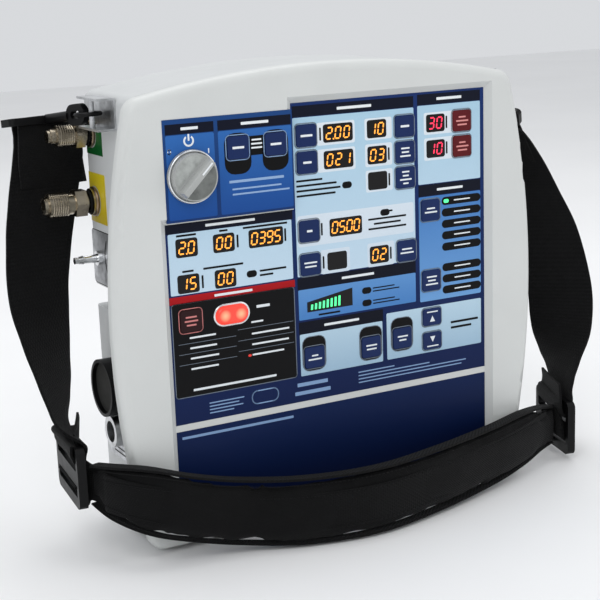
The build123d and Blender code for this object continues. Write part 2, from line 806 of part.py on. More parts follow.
with BuildPart() as power_inlet:
    with BuildSketch(side_plane(case_half)):
        with Locations((0, 60)):
            Circle(10.5)
            Circle(6.5, mode=Mode.SUBTRACT)
    extrude(amount=6.0)
    with BuildSketch(side_plane(case_half)):
        with Locations((0, 60)):
            Circle(8.0)
    extrude(amount=-14.0)
    with BuildSketch(side_plane(case_half)):
        with Locations((0, 60)):
            with PolarLocations(3.2, 4, start_angle=45):
                Circle(0.8)
    extrude(amount=4.5)
save(power_inlet, "power_inlet")

# ================================================================ strap anchors: a bracket with an upright pin
bracket_y, bracket_z = -6.0, 291.5
bracket_w, bracket_h, ear_t, ear_out = 36.0, 21.0, 1.5, 13.0
pin_r = 1.8
pin_out, pin_y = 10.5, -8.0
ring_r, ring_wire = 8.0, 1.4
with BuildPart() as strap_brackets:
    for side in (-1, 1):
        with BuildSketch(side_plane(side * case_half)):
            with Locations((bracket_y, bracket_z)):
                Rectangle(bracket_w, bracket_h)
        extrude(amount=side * 1.2)
        with BuildSketch(side_plane(side * case_half)):
            with Locations((bracket_y, bracket_z)):
                with GridLocations(0, bracket_h - ear_t, 1, 2):
                    Rectangle(bracket_w, ear_t)
        extrude(amount=side * ear_out)
        with BuildSketch(Plane.XY.offset(bracket_z - bracket_h / 2)):
            with Locations((side * (case_half + pin_out), pin_y)):
                Circle(pin_r)
        extrude(amount=bracket_h)
save(strap_brackets, "strap_brackets")

# ================================================================ snap hooks: ring, eye, swivel neck and webbing bar
eye_t, eye_rim, eye_hole, eye_w = 4.5, 5.0, 10.0, 14.0
bar_frame_w, bar_frame_h, bar_t = 60.0, 14.0, 5.0


def unit(vector):
    """The vector made one long."""
    return Vector(vector).normalized()


# side: (middle of the webbing bar, direction of the bar, how far the ring tips downwards)
hooks = {
    -1: ((-169.0, 45.0, 285.0), (0.985, 0.17, 0.0), -0.05),
    1: ((170.0, 11.0, 268.0), (0.42, -0.91, 0.0), -0.25),
}
with BuildPart() as snap_hooks:
    for side, (bar_point, bar_direction, tip) in hooks.items():
        pin = Vector(side * (case_half + pin_out), pin_y, bracket_z)
        level = unit((bar_point[0] - pin.X, bar_point[1] - pin.Y, 0))
        radial = unit(level + Vector(0, 0, tip))
        wire_direction = unit(Vector(0, 0, 1).cross(level))
        ring_centre = pin + radial * (ring_r - ring_wire - pin_r - 0.9)
        # the ring turns round the pin
        with Locations(Plane(origin=ring_centre, x_dir=radial, z_dir=radial.cross(wire_direction))):
            Torus(ring_r, ring_wire)
        grip = ring_centre + radial * ring_r
        reach = Vector(bar_point) - grip
        along = unit(reach - wire_direction * reach.dot(wire_direction))
        length = reach.length
        # the eye is threaded on the ring
        eye = Plane(origin=grip, x_dir=along, z_dir=wire_direction)
        with BuildSketch(eye.offset(-eye_t / 2)):
            with Locations((eye_hole / 2 - ring_wire - 0.2, 0)):
                SlotOverall(eye_hole + 2 * eye_rim, eye_w)
                SlotOverall(eye_hole, eye_w - 2 * eye_rim + 1, mode=Mode.SUBTRACT)
        extrude(amount=eye_t)
        with BuildSketch(Plane(origin=grip + along * (eye_hole + 2), z_dir=along)):
            Circle(3.4)
        extrude(amount=length - eye_hole - 2 - bar_frame_h / 2 + 2)
        # the frame that the webbing is folded through
        across = unit(Vector(bar_direction) - along * along.dot(Vector(bar_direction)))
        frame = Plane(origin=bar_point, x_dir=across, z_dir=across.cross(along))
        with BuildSketch(frame.offset(-bar_t / 2)):
            RectangleRounded(bar_frame_w, bar_frame_h, 3)
            with Locations((0, 1.0)):
                RectangleRounded(52, 5, 1, mode=Mode.SUBTRACT)
        extrude(amount=bar_t)
save(snap_hooks, "snap_hooks")

# ================================================================ strap: webbing, buckles and shoulder pad
webbing_w, webbing_t = 50.0, 2.4


def across_at(angle):
    """Direction of the webbing's width: 0 is +X, and a positive angle turns its right edge to the front."""
    return Vector(cos(radians(angle)), -sin(radians(angle)), 0)


# (centre, angle of the width)
left_webbing_stations = [
    ((-171.0, 47.5, 275.0), -10),
    ((-176.0, 48.0, 240.0), -9),
    ((-179.0, 47.0, 205.0), -8),
    ((-181.0, 43.0, 168.0), -17),
    ((-182.0, 33.0, 136.0), -34),
    ((-182.5, 20.0, 112.0), -50),
    ((-183.5, 6.0, 97.0), -64),
    ((-185.0, -4.0, 86.0), -80),
]
right_webbing_stations = [
    ((174.0, 13.0, 253.0), 62),
    ((184.0, 6.0, 236.0), 50),
    ((198.0, -4.0, 210.0), 40),
    ((213.0, -12.0, 174.0), 37),
    ((224.0, -18.0, 132.0), 40),
    ((224.0, -23.0, 102.0), 52),
    ((216.0, -28.0, 72.0), 82),
    ((210.0, -31.0, 54.0), 98),
]


def station_planes(stations):
    """A plane across the strap at each station; the strap's width stays level while it twists."""
    centres = [Vector(centre) for centre, _ in stations]
    planes = []
    for i, (centre, angle) in enumerate(stations):
        along = unit(centres[min(i + 1, len(centres) - 1)] - centres[max(i - 1, 0)])
        across = across_at(angle)
        planes.append(Plane(origin=centre, x_dir=across, z_dir=unit(along - across * along.dot(across))))
    return planes


with BuildPart() as left_webbing:
    for plane in station_planes(left_webbing_stations):
        with BuildSketch(plane):
            Rectangle(webbing_w, webbing_t)
    loft(ruled=True)
save(left_webbing, "left_webbing")

with BuildPart() as right_webbing:
    for plane in station_planes(right_webbing_stations):
        with BuildSketch(plane):
            Rectangle(webbing_w, webbing_t)
    loft(ruled=True)
save(right_webbing, "right_webbing")

buckle_w, buckle_h, buckle_t = 60.0, 42.0, 6.0
# (centre, angle of the long side)
buckles = [((-186.0, -12.0, 58.5), -84), ((205.5, -33.0, 25.5), 104)]
with BuildPart() as strap_buckles:
    for centre, angle in buckles:
        face = Plane(origin=centre, x_dir=across_at(angle), z_dir=across_at(angle + 90))
        with BuildSketch(face.offset(-buckle_t / 2)):
            RectangleRounded(buckle_w, buckle_h, 5)
            with Locations((0, 9), (0, -9)):
                RectangleRounded(webbing_w + 1, 8, 1.5, mode=Mode.SUBTRACT)
        extrude(amount=buckle_t)
save(strap_buckles, "strap_buckles")

# (centre in plan, centre height, width of the pad, thickness)
pad_stations = [
    ((-179.0, -30.0), 52.0, 26.0, 5.0),
    ((-171.0, -54.0), 49.0, 40.0, 9.0),
    ((-152.0, -69.0), 43.0, 50.0, 11.0),
    ((-124.0, -75.0), 34.0, 50.0, 11.0),
    ((-92.0, -80.0), 26.5, 50.0, 11.0),
    ((-52.0, -94.0), 25.4, 50.0, 11.0),
    ((-2.0, -103.0), 25.2, 50.0, 11.0),
    ((54.0, -94.0), 25.3, 50.0, 11.0),
    ((110.0, -78.0), 25.6, 50.0, 11.0),
    ((146.0, -65.5), 26.0, 50.0, 11.0),
    ((174.0, -51.0), 25.0, 42.0, 9.0),
    ((194.0, -42.0), 24.5, 32.0, 5.0),
]
with BuildPart() as shoulder_pad:
    plan = [Vector(x, y, 0) for (x, y), _, _, _ in pad_stations]
    for i, ((x, y), z, width, thickness) in enumerate(pad_stations):
        along = unit(plan[min(i + 1, len(plan) - 1)] - plan[max(i - 1, 0)])
        with BuildSketch(Plane(origin=(x, y, z), x_dir=(0, 0, 1), z_dir=along)):
            RectangleRounded(width, thickness, thickness / 2 - 0.1)
    loft(ruled=True)
save(shoulder_pad, "shoulder_pad")
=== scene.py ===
# %% [markdown]
# # A portable transport ventilator
#
# The hard parts already exist as a solid model: the case, the keys, the ports, the hooks and the buckles.
# This file loads that model as a fixed frame and adds what it doesn't say: the printed panel, the lit digits,
# the labels, the woven strap, the stuffed shoulder pad and every finish.
#
# Lengths are in millimetres, and turned into metres when a mesh is made.

import json
from math import atan, atan2, cos, pi, radians, sin

import bmesh
import bpy
from mathutils import Matrix, Vector


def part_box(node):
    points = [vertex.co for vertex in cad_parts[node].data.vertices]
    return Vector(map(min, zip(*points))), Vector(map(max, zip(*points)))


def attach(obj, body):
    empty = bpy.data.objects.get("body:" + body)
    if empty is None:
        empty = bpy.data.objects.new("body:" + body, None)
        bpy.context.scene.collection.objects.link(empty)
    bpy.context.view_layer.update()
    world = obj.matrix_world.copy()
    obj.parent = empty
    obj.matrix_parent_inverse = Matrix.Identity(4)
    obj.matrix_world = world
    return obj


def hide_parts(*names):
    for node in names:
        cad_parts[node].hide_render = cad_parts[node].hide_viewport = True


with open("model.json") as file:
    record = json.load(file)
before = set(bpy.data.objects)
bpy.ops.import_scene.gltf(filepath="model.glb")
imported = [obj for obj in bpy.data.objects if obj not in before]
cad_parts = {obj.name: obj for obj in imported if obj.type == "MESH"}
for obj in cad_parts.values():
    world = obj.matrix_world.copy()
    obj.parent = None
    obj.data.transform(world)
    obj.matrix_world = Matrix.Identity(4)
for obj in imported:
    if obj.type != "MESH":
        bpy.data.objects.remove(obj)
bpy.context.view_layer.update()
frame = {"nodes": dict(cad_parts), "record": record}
nodes = frame["nodes"]
root = next(name for name, members in frame["record"]["behaviour"]["bodies"].items() if len(members) > 1)
print(len(nodes), "solid pieces; the main body is", root)

# %% [markdown]
# ## Making meshes
#
# Printed artwork and labels are slabs: an outline becomes one face, which is extruded by a few hundredths of
# a millimetre. A picture wrapped on the panel could show the same, but it has no edge and blurs close up.
# A strap is a flat grid bent along its path, and a Solidify modifier gives it thickness. A bevelled curve
# could make it too, but the grid also carries a map that the weave follows.

# %% Outlines, slabs and ribbons
MM = 0.001


def link(name, bm, material, body=root, smooth=False):
    """Turn a finished bmesh into an object that rides on a body."""
    bmesh.ops.recalc_face_normals(bm, faces=bm.faces)
    mesh = bpy.data.meshes.new(name)
    bm.to_mesh(mesh)
    bm.free()
    if smooth:
        mesh.shade_smooth()
    mesh.materials.append(material)
    piece = bpy.data.objects.new(name, mesh)
    bpy.context.scene.collection.objects.link(piece)
    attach(piece, body)
    return piece


def rounded(x, z, width, height, radius=0.0, steps=4):
    """The outline of a rectangle round its centre, with its corners rounded."""
    radius = min(radius, width / 2 - 0.01, height / 2 - 0.01)
    if radius <= 0:
        return [(x + sx * width / 2, z + sz * height / 2) for sx, sz in ((-1, -1), (1, -1), (1, 1), (-1, 1))]
    points = []
    for quarter, (sx, sz) in enumerate(((1, 1), (-1, 1), (-1, -1), (1, -1))):
        cx, cz = x + sx * (width / 2 - radius), z + sz * (height / 2 - radius)
        for i in range(steps + 1):
            angle = (quarter + i / steps) * pi / 2
            points.append((cx + radius * cos(angle), cz + radius * sin(angle)))
    return points


def area(left, low, right, high, radius=0.0):
    """The same, from its edges."""
    return rounded((left + right) / 2, (low + high) / 2, right - left, high - low, radius)


def front(y):
    """Maps an outline to the front of the case, y millimetres back."""
    return lambda a, b: Vector((a, y, b)) * MM


def left(x):
    """Maps an outline to the left side of the case, where a runs to the back."""
    return lambda a, b: Vector((x, a, b)) * MM


def prisms(name, material, outlines, place, back, body=root):
    """Solid slabs: each outline becomes a face, and all the faces are extruded to the back plane."""
    bm = bmesh.new()
    for outline in outlines:
        bm.faces.new([bm.verts.new(place(a, b)) for a, b in outline])
    made = bmesh.ops.extrude_face_region(bm, geom=bm.faces[:])["geom"]
    moved = [v for v in made if isinstance(v, bmesh.types.BMVert)]
    bmesh.ops.translate(bm, verts=moved, vec=back(0, 0) - place(0, 0))
    return link(name, bm, material, body)


def band(outline, thickness):
    """Quads that follow a closed outline as a line of some thickness."""
    shapes, count = [], len(outline)
    for i in range(count):
        (ax, az), (bx, bz) = outline[i], outline[(i + 1) % count]
        run = Vector((bx - ax, bz - az))
        if run.length < 1e-6:
            continue
        side = Vector((-run.y, run.x)).normalized() * thickness / 2
        tip = run.normalized() * thickness * 0.3
        shapes.append([
            (ax - tip.x - side.x, az - tip.y - side.y),
            (bx + tip.x - side.x, bz + tip.y - side.y),
            (bx + tip.x + side.x, bz + tip.y + side.y),
            (ax - tip.x + side.x, az - tip.y + side.y),
        ])
    return shapes


def between(values, t):
    """A smooth value at t from 0 to 1 along a list of stations (Catmull-Rom)."""
    spans = len(values) - 1
    i = min(int(t * spans), spans - 1)
    u = t * spans - i
    p0, p1, p2, p3 = (Vector(values[min(max(k, 0), spans)]) for k in (i - 1, i, i + 1, i + 2))
    return 0.5 * (2 * p1 + (p2 - p0) * u + (2 * p0 - 5 * p1 + 4 * p2 - p3) * u * u
                  + (3 * p1 - p0 - 3 * p2 + p3) * u ** 3)


def ribbon(name, material, count, bend, width, thickness):
    """A flat grid bent into a strap. bend(s, t) gives a point for s across (-1 to 1) and t along (0 to 1)."""
    bm = bmesh.new()
    weave = bm.loops.layers.uv.new("weave")
    bmesh.ops.create_grid(bm, x_segments=16, y_segments=count, size=1.0)
    length = sum((bend(0, (i + 1) / count) - bend(0, i / count)).length for i in range(count))
    for face in bm.faces:
        for corner in face.loops:
            corner[weave].uv = (corner.vert.co.x * width / 2, (corner.vert.co.y + 1) / 2 * length)
    for vert in bm.verts:
        vert.co = bend(vert.co.x, min(1.0, max(0.0, (vert.co.y + 1) / 2))) * MM
    piece = link(name, bm, material, smooth=True)
    thick = piece.modifiers.new("Thickness", "SOLIDIFY")
    thick.thickness, thick.offset = thickness * MM, 0.0
    rounding = piece.modifiers.new("Edge", "BEVEL")
    rounding.width, rounding.segments, rounding.limit_method = thickness * 0.3 * MM, 2, "ANGLE"
    return piece


def turned_ring(name, material, centre, axis, radius, section, body=root, stretch=0.0):
    """A round wire bent into a ring. stretch pulls it apart sideways into a slot shape."""
    bm = bmesh.new()
    axis = Vector(axis).normalized()
    side = axis.orthogonal().normalized()
    place = Matrix((side, axis, side.cross(axis))).transposed().to_4x4()
    wire = bmesh.ops.create_circle(bm, segments=12, radius=section * MM)["verts"]
    bmesh.ops.transform(bm, matrix=place, verts=wire)
    bmesh.ops.translate(bm, verts=wire, vec=side * radius * MM)
    ring = bm.edges[:] + bm.verts[:]
    bmesh.ops.spin(bm, geom=ring, cent=(0, 0, 0), axis=axis, angle=2 * pi, steps=56, use_merge=True)
    for vert in bm.verts:
        if stretch:
            vert.co.x += (stretch if vert.co.x > 0 else -stretch) * MM
    bmesh.ops.translate(bm, verts=bm.verts[:], vec=Vector(centre) * MM)
    return link(name, bm, material, body, smooth=True)


def stitch_row(name, places):
    """Short raised threads. Each place is a point, the way the thread runs, and the way it stands up."""
    bm = bmesh.new()
    for point, along, out in places:
        along, out = along.normalized(), out.normalized()
        turn_to = Matrix((along * 1.05, along.cross(out) * 0.34, out * 0.34)).transposed().to_4x4()
        place = Matrix.Translation(point * MM) @ turn_to
        bmesh.ops.create_icosphere(bm, subdivisions=1, radius=MM, matrix=place)
    return link(name, bm, thread_black, smooth=True)


print("outlines ready, for example a key has", len(rounded(0, 0, 15.5, 15, 2)), "corner points")

# %% [markdown]
# ## Writing materials
#
# The finishes are drawn by nodes, not by pictures, so they stay sharp at any distance. A small wrapper lets
# the shader maths read like ordinary sums. Anything that varies over a surface goes to colour, roughness or
# bump. Anything uniform is set straight on the shader.

# %% The shader wrapper
class Wire:
    """One output of a shader node. Sums on it add Math nodes."""

    def __init__(self, tree, out):
        self.tree, self.out = tree, out

    def make(self, kind, settings=(), inputs=(), output=0):
        """Any other node: its type, its settings and its socket values by name or number."""
        node = self.tree.nodes.new(kind)
        for key, value in dict(settings).items():
            setattr(node, key, value)
        for key, value in dict(inputs).items():
            if isinstance(value, Wire):
                self.tree.links.new(value.out, node.inputs[key])
            else:
                node.inputs[key].default_value = value
        return Wire(self.tree, node.outputs[output])

    def sum(self, operation, *values):
        return self.make("ShaderNodeMath", {"operation": operation}, dict(enumerate(values)))

    def __add__(self, other):
        return self.sum("ADD", self, other)

    def __radd__(self, other):
        return self.sum("ADD", other, self)

    def __sub__(self, other):
        return self.sum("SUBTRACT", self, other)

    def __rsub__(self, other):
        return self.sum("SUBTRACT", other, self)

    def __mul__(self, other):
        return self.sum("MULTIPLY", self, other)

    def __rmul__(self, other):
        return self.sum("MULTIPLY", other, self)

    def sine(self):
        return self.sum("SINE", self)

    def size(self):
        return self.sum("ABSOLUTE", self)

    def above(self, level):
        return self.sum("GREATER_THAN", self, level)

    def mix(self, low, high):
        """A colour between two, by this value."""
        return self.make("ShaderNodeMix", {"data_type": "RGBA"}, {0: self, 6: low, 7: high}, 2)

    def steps(self, low, high, to_low=0.0, to_high=1.0):
        """This value spread from one range to another, and kept inside it."""
        values = {"From Min": low, "From Max": high, "To Min": to_low, "To Max": to_high}
        return self.make("ShaderNodeMapRange", {"clamp": True}, {"Value": self, **values})


def rgb(red, green, blue):
    """A colour from 0 to 255 as the shader's linear numbers."""
    def linear(value):
        c = value / 255
        return c / 12.92 if c <= 0.04045 else ((c + 0.055) / 1.055) ** 2.4
    return (linear(red), linear(green), linear(blue), 1.0)


def shade(colour, factor):
    return tuple(min(1.0, c * factor) for c in colour[:3]) + (1.0,)


def start(name, **uniform):
    """A new material: its shader, and the object coordinates to draw on."""
    material = bpy.data.materials.new(name)
    material.use_nodes = True
    tree = material.node_tree
    shader = tree.nodes["Principled BSDF"]
    for key, value in uniform.items():
        shader.inputs[key.replace("_", " ")].default_value = value
    wire = Wire(tree, tree.nodes.new("ShaderNodeTexCoord").outputs["Object"])
    return material, shader, wire


def noise(wire, scale, detail=3.0, rough=0.5):
    values = {"Vector": wire, "Scale": scale, "Detail": detail, "Roughness": rough}
    return wire.make("ShaderNodeTexNoise", (), values)


def finish_with(shader, wire, colour=None, roughness=None, height=None, distance=0.0002, strength=0.5):
    """Plug what varies into the shader."""
    links = wire.tree.links
    if colour is not None:
        links.new(colour.out, shader.inputs["Base Color"])
    if roughness is not None:
        links.new(roughness.out, shader.inputs["Roughness"])
    if height is not None:
        bump = wire.make("ShaderNodeBump", (), {"Height": height, "Distance": distance, "Strength": strength})
        links.new(bump.out, shader.inputs["Normal"])


def moulded(name, colour, roughness=0.5, grain=2600.0, depth=0.00006, coat=0.0, vary=0.05, strength=0.35):
    """Moulded plastic: fine spark texture, faint cloudiness, and rubbed patches that shine a little more."""
    # dark plastic is given less shine, or a pale room turns it grey
    shine = 0.18 if max(colour[:3]) < 0.2 else 0.45
    material, shader, wire = start(name, Coat_Roughness=0.2, Specular_IOR_Level=shine)
    shader.inputs["Coat Weight"].default_value = coat
    cloud = noise(wire, 22.0, 4.0)
    rub = noise(wire, 70.0, 5.0, 0.6).steps(0.45, 0.7)
    speck = noise(wire, grain, 2.0)
    tone = (cloud * 0.7 + speck * 0.3).steps(0.3, 0.7)
    finish_with(
        shader, wire,
        colour=tone.mix(shade(colour, 1 - vary), shade(colour, 1 + vary)),
        roughness=roughness - rub * 0.08 + speck * 0.06,
        height=speck * 0.8 + rub * 0.2, distance=depth, strength=strength,
    )
    return material


def metal(name, colour, roughness=0.22, wear=0.12):
    """Plated or machined metal: turning marks and stains."""
    material, shader, wire = start(name, Metallic=1.0)
    stretched = wire.make("ShaderNodeMapping", (), {"Vector": wire, "Scale": (9000.0, 260.0, 260.0)})
    turning = wire.make("ShaderNodeTexNoise", (), {"Vector": stretched, "Scale": 1.0, "Detail": 2.0})
    stain = noise(wire, 130.0, 5.0, 0.6).steps(0.4, 0.65)
    finish_with(
        shader, wire,
        colour=stain.mix(shade(colour, 1.0), shade(colour, 0.7)),
        roughness=roughness + stain * wear + turning * 0.08,
        height=turning, distance=0.00002, strength=0.35,
    )
    return material


def ink(name, colour, low_colour=None, low=0.0, high=1.0, roughness=0.42, coat=0.04):
    """Screen-printed film: a soft vertical fade, pinholes and a faint orange-peel gloss. On most inks the
    fade darkens towards the bottom: painted shade of light falling off downward.
    """
    material, shader, wire = start(name, Coat_Roughness=0.16, Specular_IOR_Level=0.12)
    shader.inputs["Coat Weight"].default_value = coat
    height = wire.make("ShaderNodeSeparateXYZ", (), {"Vector": wire}, 2)
    # the colour runs from the bottom colour up to the top one; where the bottom is darker, as on most inks,
    # that is painted shade of light falling off downward
    fade_with_painted_shade = height.steps(low * MM, high * MM)
    base = fade_with_painted_shade.mix(low_colour or shade(colour, 0.86), colour)
    speck = noise(wire, 1500.0, 2.0)
    peel = noise(wire, 420.0, 1.0)
    toned = wire.make(
        "ShaderNodeMix", {"data_type": "RGBA", "blend_type": "MULTIPLY"},
        {0: speck.steps(0.35, 0.75) * 0.12, 6: base, 7: (0.6, 0.62, 0.66, 1.0)}, 2,
    )
    finish_with(shader, wire, colour=toned, roughness=roughness + peel * 0.08,
                height=peel, distance=0.00003, strength=0.25)
    return material


def glowing(name, colour, power, spots=None):
    """A lit lens or a lit segment, with a faint ripple in its glow, and brighter round the spots where any
    are given.
    """
    material, shader, wire = start(name, Roughness=0.25)
    ripple = noise(wire, 900.0, 2.0).steps(0.2, 0.8, 0.82, 1.0)
    light = ripple
    for spot in spots or ():
        ends = {0: wire, 1: Vector(spot) * MM}
        away = wire.make("ShaderNodeVectorMath", {"operation": "DISTANCE"}, ends, 1)
        light = light + away.steps(0.0005, 0.0045, 9.0, 0.0)
    shader.inputs["Emission Strength"].default_value = power
    tint = light.steps(0.0, 8.0) if spots else ripple
    hot = (6.0, 0.9, 0.5, 1.0) if spots else colour
    glow = tint.mix(colour if spots else shade(colour, 0.8), hot)
    wire.tree.links.new(glow.out, shader.inputs["Emission Color"])
    body = ripple.mix(shade(colour, 0.4), shade(colour, 0.8))
    finish_with(shader, wire, colour=body, height=ripple, distance=0.00002)
    return material


def weave_height(u, v):
    """Threads over and under each other, where u and v count threads."""
    across, down = (u * pi).sine(), (v * pi).sine()
    over = (across * down).above(0.0)
    return across.size() * over + down.size() * (1.0 - over)


def woven(name, colour, pitch, uv_map=None):
    """Woven yarn. It counts threads on the strap's own UV map, or in space where a pad has none."""
    material, shader, wire = start(name, Sheen_Weight=0.04, Sheen_Roughness=0.5, Specular_IOR_Level=0.12)
    if uv_map:
        place = wire.make("ShaderNodeUVMap", {"uv_map": uv_map})
        x = wire.make("ShaderNodeSeparateXYZ", (), {"Vector": place}, 0) * (1 / pitch)
        y = wire.make("ShaderNodeSeparateXYZ", (), {"Vector": place}, 1) * (1 / pitch)
    else:
        axis = [wire.make("ShaderNodeSeparateXYZ", (), {"Vector": wire}, i) for i in range(3)]
        x = (axis[0] - axis[1] * 0.5) * (1000 / pitch)
        y = axis[2] * (1000 / pitch)
    slack = noise(wire, 240.0, 2.0) * 0.6
    height = weave_height(x + slack, y + slack * 0.5)
    dust = noise(wire, 60.0, 5.0, 0.65).steps(0.4, 0.75)
    lint = noise(wire, 1800.0, 2.0).steps(0.62, 0.8)
    # the weave's height lightens the crowns of the threads and darkens the gaps between them: painted
    # highlight and painted shade; dust and lint are the yarn's own
    tone = height * 0.6 + dust * 0.25 + lint * 0.15
    finish_with(
        shader, wire,
        colour=tone.mix(shade(colour, 0.5), shade(colour, 2.2)),
        roughness=0.95 - height * 0.2,
        height=height + lint * 0.3, distance=0.0004, strength=0.6,
    )
    return material


print("shader wrapper ready")

# %% [markdown]
# ## The finishes
#
# Plastic, rubber, plated metal and printed film differ more in how they scatter light than in colour. Moulded
# plastic has a fine spark texture, turned metal has rings, and printed ink fades slowly from top to bottom;
# where it darkens towards the bottom, as most inks do, that is painted shade of light falling off downward.
# One function for each kind keeps a family alike, and then each finish is one line.

# %% The finishes
case_grey = moulded("case_plastic", rgb(208, 210, 208), 0.42, 1900.0, 0.00005, 0.05, 0.03)
rear_grey = moulded("rear_plastic", rgb(200, 202, 202), 0.46, 1900.0, 0.00005, 0.0, 0.035)
black_plastic = moulded("black_plastic", rgb(10, 10, 11), 0.42, 1500.0, 0.00008, 0.0, 0.2)
black_rubber = moulded("black_rubber", rgb(18, 18, 18), 0.8, 900.0, 0.00015, 0.0, 0.25)
knob_grey = moulded("knob_plastic", rgb(168, 170, 168), 0.3, 1200.0, 0.00004, 0.15, 0.10)
# knob_dish and knob_shadow are one dull metal painted in light and shade: lighter for the lit upper dish,
# darker for the shaded lower dish
knob_lit_dish = metal("knob_dish", (0.50, 0.52, 0.50, 1.0), 0.32)
knob_shadow = metal("knob_shadow", (0.22, 0.23, 0.22, 1.0), 0.36)
white_plastic = moulded("white_plastic", rgb(222, 222, 216), 0.5)
tube_silicone = moulded("tube_silicone", rgb(190, 196, 194), 0.35)
board_green = moulded("circuit_board", rgb(20, 84, 44), 0.4, 600.0, 0.0001)
filter_fibre = moulded("filter_fibre", rgb(60, 60, 58), 0.9, 500.0, 0.0006, 0.0, 0.3)
smoked = moulded("display_window", rgb(10, 8, 8), 0.2, 900.0, 0.00001, 0.15, 0.2)
screw_steel = metal("screw_steel", (0.56, 0.56, 0.55, 1.0), 0.3)
satin_aluminium = metal("port_aluminium", (0.62, 0.63, 0.64, 1.0), 0.26)
plated = metal("port_chrome", (0.40, 0.35, 0.27, 1.0), 0.14)
bright = metal("bright_chrome", (0.86, 0.87, 0.88, 1.0), 0.08, 0.06)
dull_brass = metal("dull_brass", (0.30, 0.22, 0.15, 1.0), 0.24)

navy = ink("panel_navy", rgb(22, 48, 104), rgb(12, 30, 74), 90, 290)
lower_navy = ink("lower_navy", rgb(8, 31, 76), rgb(4, 14, 46), 20, 82)
block_navy = ink("block_navy", rgb(28, 68, 126), rgb(20, 52, 106), 222, 289)
header = ink("header_ink", rgb(7, 13, 33), rgb(5, 9, 24), 100, 290)
pale = ink("pale_ink", rgb(172, 206, 226), rgb(196, 218, 234), 172, 284)
pale_low = ink("pale_low_ink", rgb(186, 212, 228), rgb(160, 190, 212), 104, 140)
mist = ink("mist_ink", rgb(226, 234, 240), rgb(208, 222, 234), 170, 284)
mid_blue = ink("mid_blue_ink", rgb(70, 124, 190), rgb(110, 160, 214), 143, 220)
battery_blue = ink("battery_blue_ink", rgb(96, 148, 206), rgb(74, 128, 192), 143, 166)
start_blue = ink("start_blue_ink", rgb(48, 104, 176), rgb(26, 74, 146), 224, 279)
red_ink = ink("red_ink", rgb(178, 20, 26), rgb(150, 12, 20), 166, 174)
black_ink = ink("black_ink", rgb(6, 6, 8), rgb(4, 4, 6), 100, 290, 0.3)
white_ink = ink("white_ink", rgb(236, 240, 242), rgb(226, 232, 236), 60, 290)
grey_ink = ink("grey_ink", rgb(128, 138, 150), rgb(110, 120, 132), 60, 290)
ice_ink = ink("ice_ink", rgb(150, 178, 214), rgb(130, 160, 200), 60, 290)
pink_ink = ink("pink_ink", rgb(226, 150, 146), rgb(206, 128, 126), 140, 290)
key_navy = moulded("panel_key", rgb(16, 38, 86), 0.4, 900.0, 0.00002, 0.04, 0.12)
key_red = moulded("alarm_key", rgb(92, 12, 20), 0.4, 900.0, 0.00002, 0.04, 0.15)
key_dark = moulded("silence_key", rgb(40, 10, 14), 0.4, 900.0, 0.00002, 0.04, 0.15)
green_label = ink("green_label", rgb(30, 112, 52), rgb(16, 84, 36), 261, 288, 0.3, 0.4)
yellow_label = ink("yellow_label", rgb(216, 196, 38), rgb(190, 166, 20), 215, 250, 0.3, 0.4)
silver_label = metal("silver_label", (0.62, 0.63, 0.65, 1.0), 0.34)

amber = glowing("amber_digit", (1.0, 0.36, 0.04, 1.0), 1.25)
scarlet = glowing("scarlet_digit", (1.0, 0.03, 0.09, 1.0), 1.2)
leaf = glowing("green_light", (0.08, 0.95, 0.30, 1.0), 1.1)
ember = glowing("red_light", (0.6, 0.02, 0.01, 1.0), 0.7)
lamp_red = glowing("lamp_red", (0.62, 0.012, 0.01, 1.0), 0.55, [(-86.5, -52.5, 156.2), (-75.0, -52.5, 156.2)])

webbing_black = woven("strap_webbing", (0.0030, 0.0030, 0.0032, 1.0), 1.3, "weave")
pad_black = woven("pad_fabric", (0.0026, 0.0026, 0.0028, 1.0), 0.9)
thread_black = moulded("thread", rgb(20, 20, 21), 0.8, 3000.0, 0.0001, 0.0, 0.3)
print(len(bpy.data.materials), "materials")

# %% [markdown]
# ## Dressing the solid pieces
#
# The solid model has shapes but no finishes. One table from finish to pieces is easier to change than a line
# for each piece. A key that isn't in it takes the dark blue of the panel's keys.

# %% Dress the solid pieces
finishes = {
    case_grey: "front_bezel", rear_grey: "rear_case rear_cover battery_cover", navy: "control_panel",
    block_navy: "quick_start_panel", lower_navy: "lower_panel", smoked: "digit_displays indicator_lenses",
    lamp_red: "alarm_lamp", knob_grey: "power_knob", board_green: "display_board main_board",
    black_plastic: "power_switch battery_pack turbine_housing fan_frame fan_rotor speaker intake_port "
                   "power_inlet snap_hooks strap_buckles",
    black_rubber: "base_pad", screw_steel: "case_screws turbine_motor solenoid_valves",
    white_plastic: "turbine_impeller flow_sensor", tube_silicone: "air_tubes", filter_fibre: "intake_filter",
    satin_aluminium: "gas_manifold patient_outlet strap_brackets", plated: "oxygen_inlet air_inlet",
    bright: "pressure_port", key_red: "key_high_alarm key_low_alarm", key_dark: "key_alarm_silence",
}
finish_of = {name: finish for finish, names in finishes.items() for name in names.split()}
for name, piece in nodes.items():
    piece.data.materials.clear()
    piece.data.materials.append(finish_of.get(name, key_navy))
print("dressed", len(nodes), "solid pieces")

# %% [markdown]
# ## Camera and studio
#
# The camera stands to the left of the panel and a little above it. The floor and the light are plain and
# pale, so that black webbing and pale plastic both keep a clear edge.

